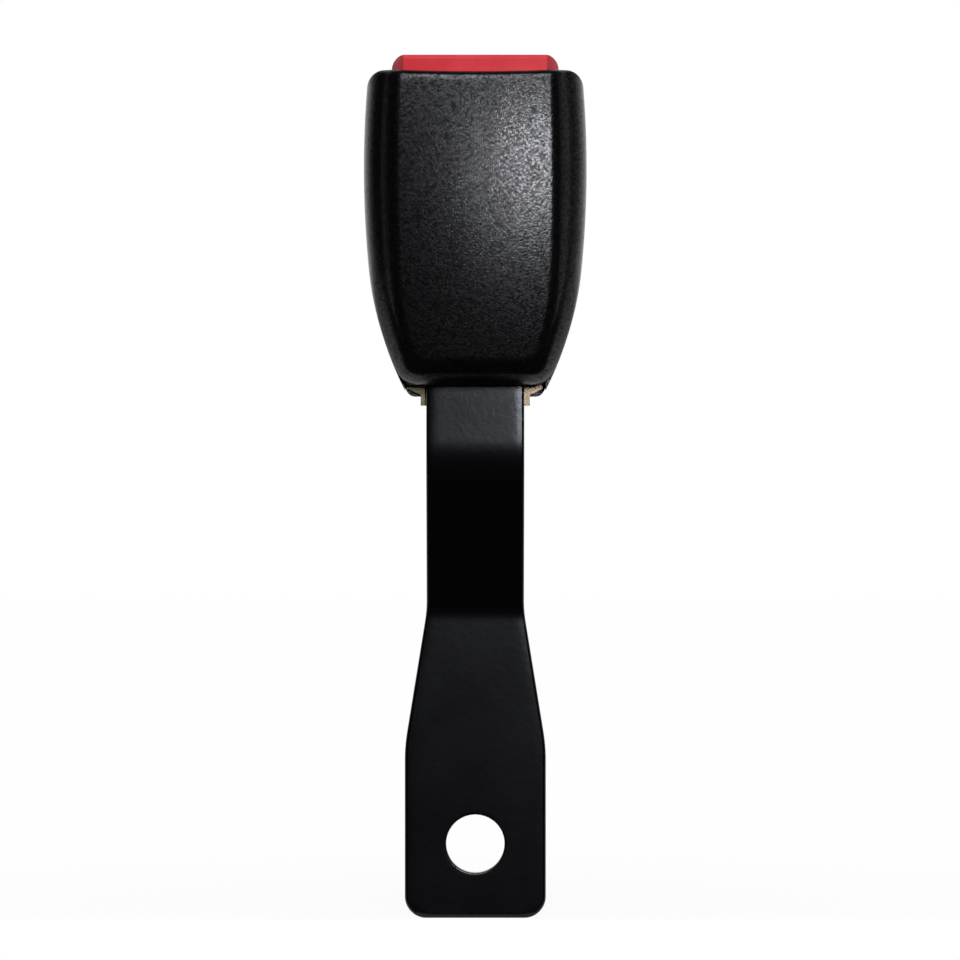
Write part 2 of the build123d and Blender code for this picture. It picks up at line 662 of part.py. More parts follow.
def landing_rib():
    """One rib inside the cap that lands on the rubber bumper at full press."""
    ceiling_z = BUTTON_TOP_Z - BUTTON_WALL / 2
    return block(
        (FLANGE_MID_X - PLATE_THICK / 2, BUTTON_BACK_Y - BUTTON_WALL - BUMPER_DEPTH, BUTTON_BASE_Z),
        (FLANGE_MID_X + PLATE_THICK / 2, BUTTON_BACK_Y - BUTTON_WALL / 2, ceiling_z),
    )


def spring_peg():
    """One peg under the cap's ceiling that centres a button spring."""
    ceiling_z = BUTTON_TOP_Z - BUTTON_WALL
    length = 2 * BUTTON_WALL
    peg = Cylinder(BUTTON_SPRING_PEG_R, length)
    return Pos(BUTTON_SPRING_X, BUTTON_SPRING_Y, ceiling_z - length / 2 + SPRING_PEG_ROOT / 2) * peg


def button_spring(side):
    """One return spring, from the front cover's shelf to the cap's ceiling."""
    length = BUTTON_TOP_Z - BUTTON_WALL - BUTTON_SPRING_Z
    spring = coil_spring(BUTTON_SPRING_R, BUTTON_WIRE, BUTTON_TURNS, length)
    return Pos(side * BUTTON_SPRING_X, BUTTON_SPRING_Y, BUTTON_SPRING_Z) * spring


def button_bumper(side):
    """One rubber bumper on a flange's top edge, with a skirt down its inner face."""
    inner_x = side * (FRAME_INNER - BUMPER_LIP)
    outer_x = side * (FRAME_WIDTH / 2)
    front_y = FLANGE_FRONT_Y + SEAT_GAP
    back_y = front_y + BUMPER_DEPTH
    outline = Polyline(
        (inner_x, FLANGE_TOP_Z - BUMPER_SKIRT),
        (side * FRAME_INNER, FLANGE_TOP_Z - BUMPER_SKIRT),
        (side * FRAME_INNER, FLANGE_TOP_Z),
        (outer_x, FLANGE_TOP_Z),
        (outer_x, FLANGE_TOP_Z + BUMPER_THICK),
        (inner_x, FLANGE_TOP_Z + BUMPER_THICK),
        close=True,
    )
    return slab_y(face_xz(outline), back_y, front_y)


def tongue_guide():
    """The plastic guide on the base plate's top edge, which lines the tongue's way in."""
    rail_back_y = BASE_FRONT_Y
    rail_front_y = BASE_FRONT_Y - TONGUE_SPACE + EJECTOR_GAP
    rail = Polyline(
        (TONGUE_WIDTH / 2 + EJECTOR_GAP, FLANGE_TOP_Z),
        (BED_WIDTH / 2, FLANGE_TOP_Z),
        (BED_WIDTH / 2, GUIDE_TOP_Z),
        (TONGUE_WIDTH / 2 + EJECTOR_GAP + GUIDE_LEAD, GUIDE_TOP_Z),
        (TONGUE_WIDTH / 2 + EJECTOR_GAP, GUIDE_TOP_Z - 2 * GUIDE_LEAD),
        close=True,
    )
    rails = both_sides(slab_y(face_xz(rail), rail_back_y, rail_front_y))
    pegs = both_sides(rod_y(GUIDE_PEG_DIA, BASE_BACK_Y, rail_back_y, GUIDE_PEG_X, GUIDE_PEG_Z))
    cap_back_y = BACK_Y - WALL - SEAT_GAP
    cap = Polyline(
        (cap_back_y, BED_TOP_Z),
        (rail_back_y, BED_TOP_Z),
        (rail_back_y, GUIDE_TOP_Z - GUIDE_LEAD),
        (rail_back_y + GUIDE_LEAD / 2, GUIDE_TOP_Z),
        (cap_back_y, GUIDE_TOP_Z),
        close=True,
    )
    return rails + pegs + slab_x(face_yz(cap), -BED_WIDTH / 2, BED_WIDTH / 2)


def housing_outline(low_half, low_z, depth=0.0):
    """The housing seen from the front, down to a given foot, moved inwards by a depth."""
    half = HOUSING_WIDTH / 2 - depth
    rim_z = RIM_CORNER_Z - depth
    rim_half = RIM_HALF - depth
    waist_half = WAIST_HALF - depth
    foot_half = low_half - depth
    foot_z = low_z + depth
    rim = ThreePointArc((-rim_half, rim_z), (0, RIM_MID_Z - depth), (rim_half, rim_z))
    flank = ThreePointArc((rim_half, rim_z), (half, HOUSING_WIDE_Z), (waist_half, WAIST_Z))
    hip = ThreePointArc((waist_half, WAIST_Z), (HIP_HALF - depth, HIP_Z), (foot_half, foot_z))
    foot = Line((foot_half, foot_z), (-foot_half, foot_z))
    outline = make_face([rim, flank, hip, foot, flank.mirror(Plane.YZ), hip.mirror(Plane.YZ)])
    outline = fillet(outline.vertices().group_by(Axis.Y)[0], max(CHIN_R - depth, INNER_EDGE_R))
    corners = outline.vertices().sort_by(Axis.Y)[-2:]
    return fillet(corners, max(RIM_CORNER_R - depth, INNER_EDGE_R))


def crown(depth):
    """The doubly curved body whose surface is the front face, moved back by a wall."""
    curve = ThreePointArc(
        (CROWN_TOP_Y, RIM_CORNER_Z), (CROWN_MID_Y, CROWN_MID_Z), (CROWN_LOW_Y, CROWN_LOW_Z)
    )
    radius = curve.radius - depth
    axis_y = CROWN_MID_Y + CROWN_ACROSS_R
    disc = Pos(curve.arc_center.X, curve.arc_center.Y) * Circle(radius)
    reach = HOUSING_WIDTH
    window = Pos(axis_y - reach / 2 - CROWN_ACROSS_R / 2, CROWN_MID_Z)
    window *= Rectangle(reach + CROWN_ACROSS_R, 2 * (RIM_CORNER_Z - CROWN_LOW_Z))
    profile = Plane.YZ * (disc & window)
    return revolve(profile, Axis((0, axis_y, 0), (0, 0, 1)))


def panel_outline(halves, low_z):
    """The raised panel at one depth, seen from the front: half widths from its top down."""
    top, middle, waist, hip, low = halves
    over_z = RIM_CORNER_Z + PANEL_OVERRUN
    head = Polyline((-top, RIM_CORNER_Z), (-top, over_z), (top, over_z), (top, RIM_CORNER_Z))
    flank = ThreePointArc((top, RIM_CORNER_Z), (middle, HOUSING_WIDE_Z), (waist, WAIST_Z))
    turn = ThreePointArc((waist, WAIST_Z), (hip, HIP_Z), (low, low_z))
    foot = Line((low, low_z), (-low, low_z))
    outline = make_face([head, flank, turn, foot, flank.mirror(Plane.YZ), turn.mirror(Plane.YZ)])
    return fillet(outline.vertices().group_by(Axis.Y)[0], PANEL_CORNER_R)


def panel_root(depth):
    """The panel's outline where its sides meet the housing's sides, moved in by a wall."""
    sides = (RIM_HALF, HOUSING_WIDTH / 2, WAIST_HALF, HIP_HALF)
    halves = [half - PANEL_ROOT_INSET - depth for half in sides]
    low_z = CHIN_Z + PANEL_ROOT_INSET + depth
    return panel_outline([*halves, PANEL_ROOT_LOW_HALF - depth], low_z)


def panel_nose(depth):
    """The panel's outline in the plane that its sides reach in front of the crown."""
    sides = (PANEL_TOP_HALF, PANEL_MID_HALF, PANEL_WAIST_HALF, PANEL_HIP_HALF, PANEL_LOW_HALF)
    return panel_outline([half - depth for half in sides], PANEL_LOW_Z + depth)


def front_form(depth):
    """The front half of the housing as a solid, or its cavity when moved in by a wall."""
    outline = housing_outline(CHIN_HALF, CHIN_Z, depth)
    root_y = SIDE_FRONT_Y + depth
    sides = slab_y(Plane.XZ * outline, PARTING_Y, root_y)
    if not depth:
        sides = fillet(sides.faces().sort_by(Axis.Y)[0].edges(), SIDE_EDGE_R)
    root = Plane.XZ.offset(-root_y) * panel_root(depth)
    nose = Plane.XZ.offset(-PANEL_NOSE_Y) * panel_nose(depth)
    panel = loft([root, nose], ruled=True) & crown(depth)
    if not depth:
        rim = panel.edges().filter_by(lambda edge: edge.center().Y < CROWN_LOW_Y + PANEL_EDGE_R)
        panel = fillet(rim.filter_by(lambda edge: edge.center().Z < RIM_CORNER_Z), PANEL_EDGE_R)
    panel += slab_y(Plane.XZ * panel_root(depth), PARTING_Y, root_y)
    return sides + (panel & slab_y(Plane.XZ * outline, PARTING_Y, PANEL_NOSE_Y))


def rear_form(depth):
    """The rear half of the housing as a solid, or its cavity when moved in by a wall."""
    outline = housing_outline(LIP_HALF, LIP_Z, depth)
    shell = slab_y(Plane.XZ * outline, BACK_Y - depth, PARTING_Y)
    edge_r = INNER_EDGE_R if depth else BACK_EDGE_R
    return fillet(shell.faces().sort_by(Axis.Y)[-1].edges(), edge_r)


def lap_ring(front_y, back_y, low_gap):
    """The thin inner half of the wall where the two covers lap."""
    ring = housing_outline(CHIN_HALF, CHIN_Z, WALL / 2 + low_gap)
    ring -= housing_outline(CHIN_HALF, CHIN_Z, WALL)
    return slab_y(Plane.XZ * ring, back_y, front_y)


def button_opening():
    """The room that the button moves in, cut down through the rim."""
    return Pos(0, 0, RIM_MID_Z - 2 * WALL) * extrude(button_plan(BUTTON_GAP), 4 * WALL)


def tongue_slot():
    """The slot behind the button that the tongue enters, with a lead at its back edge."""
    profile = Polyline(
        (BUTTON_BACK_Y, RIM_MID_Z - 2 * WALL),
        (SLOT_BACK_Y, RIM_MID_Z - 2 * WALL),
        (SLOT_BACK_Y, RIM_MID_Z - SLOT_LEAD),
        (SLOT_BACK_Y + SLOT_LEAD + WALL, RIM_MID_Z + WALL),
        (BUTTON_BACK_Y, RIM_MID_Z + WALL),
        close=True,
    )
    return slab_x(face_yz(profile), -SLOT_HALF, SLOT_HALF)


def front_cover():
    """The moulded front cover: crowned panel, rim, spring shelves, ribs and pegs."""
    shell = front_form(0) - front_form(WALL)
    shell += lap_ring(PARTING_Y, PARTING_Y + LAP_DEPTH, LAP_GAP)
    shell += block(
        (-LIP_HALF + CHIN_R / 2, PARTING_Y, CHIN_Z),
        (LIP_HALF - CHIN_R / 2, STRAP_FRONT_Y - STRAP_GAP, CHIN_Z + CHIN_LEDGE),
    )
    shell += both_sides(spring_shelf() + bridge_rib())
    for x, z in (UPPER_BOSS, LOWER_BOSS):
        root = rod_y(BOSS_DIA, PARTING_Y, SIDE_FRONT_Y + WALL / 2, x, z)
        peg = rod_y(PEG_DIA, BOSS_TOP_Y + PEG_LENGTH, PARTING_Y, x, z)
        shell += both_sides(root + peg)
    return shell - button_opening()


def spring_shelf():
    """One shelf on the front wall that a button spring stands on, with its web and peg."""
    back_y = BUTTON_SPRING_Y + BUTTON_SPRING_R + BUTTON_WIRE / 2
    wall_y = CROWN_MID_Y + WALL / 2
    low_z = BUTTON_SPRING_Z - SPRING_SHELF_THICK
    profile = Polyline(
        (wall_y, BUTTON_SPRING_Z),
        (back_y, BUTTON_SPRING_Z),
        (back_y, low_z),
        (wall_y, low_z - (back_y - wall_y) / 2),
        close=True,
    )
    half = BUTTON_SPRING_R + BUTTON_WIRE / 2
    shelf = slab_x(face_yz(profile), BUTTON_SPRING_X - half, BUTTON_SPRING_X + half)
    peg = Pos(BUTTON_SPRING_X, BUTTON_SPRING_Y, BUTTON_SPRING_Z) * Cylinder(
        BUTTON_SPRING_PEG_R, 2 * BUTTON_SPRING_PEG_R
    )
    return shelf + peg


def bridge_rib():
    """One rib inside the front wall that holds the bridge and frame back."""
    return block(
        (BRIDGE_RIB_X, CROWN_MID_Y + WALL / 2, BRIDGE_LOW_Z + RUN_GAP),
        (BRIDGE_RIB_X + RIB_THICK, LOBE_Y - BRIDGE_THICK - SEAT_GAP, BRIDGE_HIGH_Z - RUN_GAP),
    )


def rear_cover():
    """The moulded rear cover: flat back, tongue slot, bosses and ribs for the frame."""
    outer = rear_form(0)
    shell = outer - rear_form(WALL)
    shell -= lap_ring(PARTING_Y, PARTING_Y + LAP_DEPTH + LAP_GAP, 0)
    for x, z in (UPPER_BOSS, LOWER_BOSS):
        boss = rod_y(BOSS_DIA, BACK_Y - WALL / 2, BOSS_TOP_Y, x, z)
        bore = rod_y(PEG_DIA + 2 * PEG_GAP, BOSS_TOP_Y + PEG_LENGTH + PEG_GAP, PARTING_Y, x, z)
        shell = shell + (both_sides(boss) & outer) - both_sides(bore)
    shell += both_sides(back_rib() + fence_rib())
    foot_opening = block(
        (-FRAME_WIDTH / 2 - RUN_GAP, PARTING_Y, LIP_Z - WALL),
        (FRAME_WIDTH / 2 + RUN_GAP, BASE_BACK_Y + RUN_GAP, FLANGE_LOW_Z + 2 * WALL),
    )
    return shell - foot_opening - button_opening() - tongue_slot()


def back_rib():
    """One long rib on the back wall that the base plate lies against."""
    return block(
        (BACK_RIB_X, BASE_BACK_Y + SEAT_GAP, SHOULDER_Z + WALL),
        (BACK_RIB_X + RIB_THICK, BACK_Y - WALL / 2, FLANGE_TOP_Z),
    )


def fence_rib():
    """One rib beside the channel that keeps the frame from moving sideways."""
    low_x = FRAME_WIDTH / 2 + RUN_GAP
    return block(
        (low_x, BUTTON_BACK_Y + FENCE_CUT, LOBE_LOW_Z + LOBE_RISE),
        (low_x + RIB_THICK, BACK_Y - WALL / 2, FLANGE_TOP_Z),
    )


def main():
    """Write one STEP file for each piece."""
    pieces = {
        "anchor_strap": anchor_strap(),
        "frame": frame(),
        "frame_bridge": frame_bridge(),
        "latch_plate": latch_plate(),
        "latch_spring": latch_spring(),
        "pivot_pin": pivot_pin(),
        "pivot_pin_clip": pivot_pin_clip(),
        "lock_bar": lock_bar(),
        "ejector": ejector(),
        "ejector_spring": ejector_spring(),
        "push_button": push_button(),
        "tongue_guide": tongue_guide(),
        "front_cover": front_cover(),
        "rear_cover": rear_cover(),
    }
    for side, word in ((-1, "left"), (1, "right")):
        pieces[f"strap_rivet_{word}"] = strap_rivet(side * RIVET_X)
        pieces[f"button_spring_{word}"] = button_spring(side)
        pieces[f"button_bumper_{word}"] = button_bumper(side)
    os.makedirs("parts", exist_ok=True)
    for name, piece in pieces.items():
        export_step(piece, f"parts/{name}.step")


main()
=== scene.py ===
from math import pi, radians, sin, tan

import bmesh
import bpy
import numpy as np
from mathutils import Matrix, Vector


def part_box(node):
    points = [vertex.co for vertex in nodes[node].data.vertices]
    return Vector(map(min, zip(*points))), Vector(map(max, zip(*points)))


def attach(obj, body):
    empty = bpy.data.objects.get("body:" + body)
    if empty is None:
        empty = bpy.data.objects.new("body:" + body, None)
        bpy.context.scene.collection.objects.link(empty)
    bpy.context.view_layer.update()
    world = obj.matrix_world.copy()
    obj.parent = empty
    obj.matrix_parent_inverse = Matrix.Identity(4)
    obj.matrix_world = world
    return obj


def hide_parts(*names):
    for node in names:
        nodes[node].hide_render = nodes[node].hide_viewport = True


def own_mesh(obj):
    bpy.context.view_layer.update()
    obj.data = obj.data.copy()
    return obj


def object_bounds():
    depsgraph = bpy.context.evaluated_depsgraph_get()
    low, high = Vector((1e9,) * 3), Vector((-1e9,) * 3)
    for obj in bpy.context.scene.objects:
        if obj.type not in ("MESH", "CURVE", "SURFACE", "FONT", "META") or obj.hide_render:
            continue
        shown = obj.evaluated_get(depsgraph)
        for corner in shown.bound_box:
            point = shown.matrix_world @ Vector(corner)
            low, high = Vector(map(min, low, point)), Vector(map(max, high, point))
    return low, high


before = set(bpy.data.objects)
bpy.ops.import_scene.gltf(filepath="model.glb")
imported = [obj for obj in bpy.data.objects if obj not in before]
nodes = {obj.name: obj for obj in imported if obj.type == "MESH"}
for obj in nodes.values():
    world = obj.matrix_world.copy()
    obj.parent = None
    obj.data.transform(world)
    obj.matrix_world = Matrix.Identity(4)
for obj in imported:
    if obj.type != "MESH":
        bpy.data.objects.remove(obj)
cad_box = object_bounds()
scene = bpy.context.scene
scene.view_settings.view_transform = "Standard"

MM = 0.001

# ---------------------------------------------------------------- Studio
# The buckle stands on its strap's foot on a pale table, in front of a white wall. A
# small softbox right of the camera, a large one above and a weak one at the right
# light it, and the table shows its shadow faintly round the foot.

CAMERA_X = 1.0 * MM
CAMERA_Z = 77.9 * MM
CAMERA_BACK = 1.1
CAMERA_NEAR = 0.05
PICTURE_WIDTH = 203.5 * MM
PICTURE_DEPTH = -14.0 * MM
LAMP_AIM = (0.0, -0.03, 0.135)
WHITE = (1, 1, 1, 1)
FRONT_GLOW = 0.008
WALL_EDGE = 0.2
WALL_MIDDLE = 0.95
TABLE_HALF_WIDTH = 1.6
TABLE_FRONT = -0.006
TABLE_BACK = 3.0
TABLE_PALE = (0.86, 0.86, 0.86, 1)
SHADE_NEAR = 0.02
SHADE_FAR = 0.25
WHITE_NEAR = 0.94
WHITE_FAR = 0.99

camera = bpy.data.objects.new("camera", bpy.data.cameras.new("camera"))
scene.collection.objects.link(camera)
camera.location = (CAMERA_X, PICTURE_DEPTH - CAMERA_BACK, CAMERA_Z)
camera.rotation_euler = (pi / 2, 0, 0)
camera.data.lens = camera.data.sensor_width * CAMERA_BACK / PICTURE_WIDTH
camera.data.clip_start = CAMERA_NEAR
scene.camera = camera


def softbox(name, place, size, watts):
    """A square area lamp that faces the housing and stays out of the picture."""
    lamp = bpy.data.lights.new(name, "AREA")
    lamp.shape = "SQUARE"
    lamp.size = size
    lamp.energy = watts
    holder = bpy.data.objects.new(name, lamp)
    scene.collection.objects.link(holder)
    holder.location = place
    way = Vector(LAMP_AIM) - Vector(place)
    holder.rotation_euler = way.to_track_quat("-Z", "Y").to_euler()
    holder.visible_camera = False


softbox("key_softbox", place=(0.12, -0.75, 0.185), size=0.12, watts=1.1)
softbox("top_softbox", place=(0.05, -0.75, 0.75), size=0.8, watts=7.5)
softbox("right_softbox", place=(1.05, 0.30, 0.35), size=0.9, watts=0.45)


def fill(node, sockets):
    """Fills a node's inputs, by name, with a value or with another node's output."""
    for socket, value in dict(sockets).items():
        if isinstance(value, bpy.types.NodeSocket):
            node.id_data.links.new(value, node.inputs[socket])
        else:
            node.inputs[socket].default_value = value


def put(tree, kind, sockets=(), **options):
    """A new node with its inputs filled; the options are its own settings."""
    node = tree.nodes.new(kind)
    for option, value in options.items():
        setattr(node, option, value)
    fill(node, sockets)
    return node


# The world glows behind the buckle and is dim in front of it, but seen directly it
# is plain white all round.
world = bpy.data.worlds.new("studio_air")
scene.world = world
world.use_nodes = True
air = world.node_tree
air.nodes.clear()
heading = put(air, "ShaderNodeTexCoord")
split = put(air, "ShaderNodeSeparateXYZ", {"Vector": heading.outputs["Generated"]})
white_wall = put(air, "ShaderNodeMapRange", {
    "Value": split.outputs["Y"], "From Min": WALL_EDGE, "From Max": WALL_MIDDLE,
    "To Min": FRONT_GLOW, "To Max": 1.0,
}, interpolation_type="SMOOTHSTEP")
ray = put(air, "ShaderNodeLightPath")
seen_directly = put(air, "ShaderNodeMath", {
    0: ray.outputs["Is Camera Ray"], 1: ray.outputs["Is Transmission Ray"],
}, operation="MAXIMUM")
strength = put(air, "ShaderNodeMix", {
    0: seen_directly.outputs[0], 2: white_wall.outputs[0], 3: 1.0,
})
glow = put(air, "ShaderNodeBackground", {"Color": WHITE, "Strength": strength.outputs[0]})
put(air, "ShaderNodeOutputWorld", {"Surface": glow.outputs[0]})

# The table is matt paint, mixed for the camera with plain white: less of it near the
# foot, where the shadow lies, than far away.
table_paint = bpy.data.materials.new("table_paint")
table_paint.use_nodes = True
paint = table_paint.node_tree
paint.nodes.clear()
matt = put(paint, "ShaderNodeBsdfDiffuse", {"Color": TABLE_PALE})
lit = put(paint, "ShaderNodeEmission", {"Color": WHITE, "Strength": 1.0})
eye = put(paint, "ShaderNodeLightPath")
spot = put(paint, "ShaderNodeTexCoord")
away = put(paint, "ShaderNodeVectorMath", {0: spot.outputs["Object"]}, operation="LENGTH")
whiteness = put(paint, "ShaderNodeMapRange", {
    "Value": away.outputs["Value"], "From Min": SHADE_NEAR, "From Max": SHADE_FAR,
    "To Min": WHITE_NEAR, "To Max": WHITE_FAR,
}, interpolation_type="SMOOTHSTEP")
direct = put(paint, "ShaderNodeMath", {
    0: eye.outputs["Is Camera Ray"], 1: whiteness.outputs[0],
}, operation="MULTIPLY")
blend = put(paint, "ShaderNodeMixShader", {
    0: direct.outputs[0], 1: matt.outputs[0], 2: lit.outputs[0],
})
put(paint, "ShaderNodeOutputMaterial", {"Surface": blend.outputs[0]})

table_z = cad_box[0].z
table_top = bpy.data.meshes.new("table_top")
corners = [
    (-TABLE_HALF_WIDTH, TABLE_FRONT, table_z),
    (TABLE_HALF_WIDTH, TABLE_FRONT, table_z),
    (TABLE_HALF_WIDTH, TABLE_BACK, table_z),
    (-TABLE_HALF_WIDTH, TABLE_BACK, table_z),
]
table_top.from_pydata(corners, [], [(0, 1, 2, 3)])
table_top.materials.append(table_paint)
table = bpy.data.objects.new("table_top", table_top)
scene.collection.objects.link(table)


# ---------------------------------------------------------------- Anchor strap
# A strap cut from 3 mm steel, punched for its bolt, bent into a joggle and dipped
# in black electrocoat, which dries with a faint orange peel and a soft gloss.

STRAP_BLACK = (0.0018, 0.0019, 0.0023, 1)
STRAP_SHEEN = (0.86, 0.89, 1.0, 1)
STRAP_THICK = 3.0 * MM
STRAP_HALF = 10.4 * MM
FLARE = (21.0 * MM, 50.0 * MM)
FLARE_BLENDS = (3.0 * MM, 2.5 * MM)
JOGGLE = (50.0 * MM, 81.3 * MM)
JOGGLE_BLENDS = (1.7 * MM, 4.6 * MM)
JOGGLE_DEPTH = 12.0 * MM
FOOT_CORNER_R = 4.6 * MM
STRAP_EDGE_R = 0.8 * MM
HOLE_R = 6.25 * MM
HOLE_RIM_R = 0.4 * MM
HOLE_PATCH = 10.0 * MM
STRAP_STEP = 1.0 * MM
EDGE_POINTS = 6
CORNER_POINTS = 8
FACE_POINTS = 17
RIM_POINTS = 5
SPOKE_POINTS = 7
RAMP_SAMPLES = 400
WELD = 0.001 * MM


def surface(name):
    """A new material with its node tree, its Principled shader and its position vector."""
    material = bpy.data.materials.new(name)
    material.use_nodes = True
    tree = material.node_tree
    shader = tree.nodes["Principled BSDF"]
    place = put(tree, "ShaderNodeTexCoord").outputs["Object"]
    return material, tree, shader, place


def new_group(name, inputs, outputs):
    """An empty shader node group with named float or vector sockets."""
    kinds = {"float": "NodeSocketFloat", "vector": "NodeSocketVector"}
    group = bpy.data.node_groups.new(name, "ShaderNodeTree")
    for in_out, sockets in (("INPUT", inputs), ("OUTPUT", outputs)):
        for socket, kind in sockets.items():
            group.interface.new_socket(socket, in_out=in_out, socket_type=kinds[kind])
    entry = group.nodes.new("NodeGroupInput")
    return group, entry.outputs


def cloud_group():
    """Slow blotches in a range from Low to High: layered noise stretched to a contrast."""
    group, given = new_group(
        "cloud", {"Vector": "vector", "Scale": "float", "Low": "float", "High": "float"},
        {"Value": "float"},
    )
    noise = put(group, "ShaderNodeTexNoise", {
        "Vector": given["Vector"], "Scale": given["Scale"], "Detail": 4.0, "Roughness": 0.6,
    })
    spread = put(group, "ShaderNodeMapRange", {
        "Value": noise.outputs[0], "From Min": 0.3, "From Max": 0.7,
        "To Min": given["Low"], "To Max": given["High"],
    })
    put(group, "NodeGroupOutput", {"Value": spread.outputs[0]})
    return group


def peel_group():
    """Orange peel: broad low hills of one size with a fine ripple on them."""
    group, given = new_group("peel", {"Vector": "vector", "Hill": "float"}, {"Height": "float"})
    hills = put(group, "ShaderNodeTexNoise", {
        "Vector": given["Vector"], "Scale": given["Hill"], "Detail": 1.5, "Roughness": 0.45,
    })
    finer = put(group, "ShaderNodeMath", {0: given["Hill"], 1: 3.5}, operation="MULTIPLY")
    ripple = put(group, "ShaderNodeTexNoise", {
        "Vector": given["Vector"], "Scale": finer.outputs[0], "Detail": 1.0,
    })
    height = put(group, "ShaderNodeMath", {
        0: ripple.outputs[0], 1: 0.25, 2: hills.outputs[0],
    }, operation="MULTIPLY_ADD")
    put(group, "NodeGroupOutput", {"Height": height.outputs[0]})
    return group


cloud = cloud_group()
peel = peel_group()


def use_group(tree, group, **sockets):
    """The group placed in a material, with its inputs filled."""
    return put(tree, "ShaderNodeGroup", sockets, node_tree=group).outputs


def clouds(tree, place, scale, low=0.0, high=1.0):
    """A value that drifts between low and high in slow blotches."""
    return use_group(tree, cloud, Vector=place, Scale=scale, Low=low, High=high)["Value"]


def bumped(tree, height, strength, depth):
    """A normal tilted by a map of heights."""
    sockets = {"Height": height, "Strength": strength, "Distance": depth}
    return put(tree, "ShaderNodeBump", sockets).outputs[0]


def peeled(tree, place, hill, strength, depth):
    """A normal tilted by orange peel."""
    return bumped(tree, use_group(tree, peel, Vector=place, Hill=hill)["Height"], strength, depth)


def strap_coat():
    """Black electrocoat: orange peel in the bump, slow changes in the gloss."""
    material, tree, shader, place = surface("strap_coat")
    fill(shader, {
        "Base Color": STRAP_BLACK,
        "Specular IOR Level": 0.6,
        "Specular Tint": STRAP_SHEEN,
        "Roughness": clouds(tree, place, scale=45.0, low=0.18, high=0.22),
        "Normal": peeled(tree, place, hill=900.0, strength=0.2, depth=0.05 * MM),
    })
    return material


def ramp(z, ends, blends):
    """A climb from 0 to 1 between two heights: the running sum of a slope that rises
    and falls in straight lines within a blend length of each end."""
    (low, high), (low_blend, high_blend) = ends, blends
    fine = np.linspace(low - low_blend, high + high_blend, RAMP_SAMPLES)
    knots = [low - low_blend, low + low_blend, high - high_blend, high + high_blend]
    slope = np.interp(fine, knots, [0.0, 1.0, 1.0, 0.0])
    climb = np.concatenate([[0.0], np.cumsum((slope[1:] + slope[:-1]) / 2)])
    return np.interp(z, fine, climb / climb[-1])


def grid_quads(grid, ring=False):
    """Four-sided faces between the neighbours of a grid of points."""
    rows, columns = grid.shape[:2]
    index = np.arange(rows * columns).reshape(rows, columns)
    if ring:
        index = np.concatenate([index, index[:, :1]], axis=1)
    corners = [index[:-1, :-1], index[:-1, 1:], index[1:, 1:], index[1:, :-1]]
    return np.stack(corners, axis=-1).reshape(-1, 4)


def add_piece(name, mesh, material, body):
    """A smooth mesh in one finish, put in the scene and tied to its body."""
    mesh.shade_smooth()
    mesh.materials.clear()
    mesh.materials.append(material)
    piece = bpy.data.objects.new(name, mesh)
    scene.collection.objects.link(piece)
    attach(piece, body)
    return piece


def make_piece(name, grids, material, body):
    """A closed, smooth piece from grids of points, each given with its faces; shared
    borders are merged and the faces turned outwards."""
    points = np.concatenate([grid.reshape(-1, 3) for grid, quads in grids])
    starts = np.cumsum([0] + [grid.reshape(-1, 3).shape[0] for grid, quads in grids])
    faces = np.concatenate([quads + start for (grid, quads), start in zip(grids, starts)])
    mesh = bpy.data.meshes.new(name)
    mesh.from_pydata(points.tolist(), [], faces.tolist())
    work = bmesh.new()
    work.from_mesh(mesh)
    bmesh.ops.remove_doubles(work, verts=work.verts, dist=WELD)
    bmesh.ops.dissolve_degenerate(work, edges=work.edges, dist=WELD / 2)
    bmesh.ops.recalc_face_normals(work, faces=work.faces)
    work.to_mesh(mesh)
    work.free()
    return add_piece(name, mesh, material, body)


def strap_edge_distance(x, z, low_z, high_z, foot_half):
    """How far a point of the flat blank lies inside its outline: the least of its
    distances to the side, the two ends and the rounded foot corners."""
    half = foot_half - (foot_half - STRAP_HALF) * ramp(z, FLARE, FLARE_BLENDS)
    inside = np.minimum(half - np.abs(x), np.minimum(z - low_z, high_z - z))
    out_x = np.abs(x) - (foot_half - FOOT_CORNER_R)
    out_z = low_z + FOOT_CORNER_R - z
    corner = FOOT_CORNER_R - np.hypot(out_x, out_z)
    return np.where((out_x > 0) & (out_z > 0), corner, inside)


def border(sheet):
    """The outermost points of a grid, once round."""
    return np.concatenate([sheet[0, :-1], sheet[:-1, -1], sheet[-1, :0:-1], sheet[:0:-1, 0]])


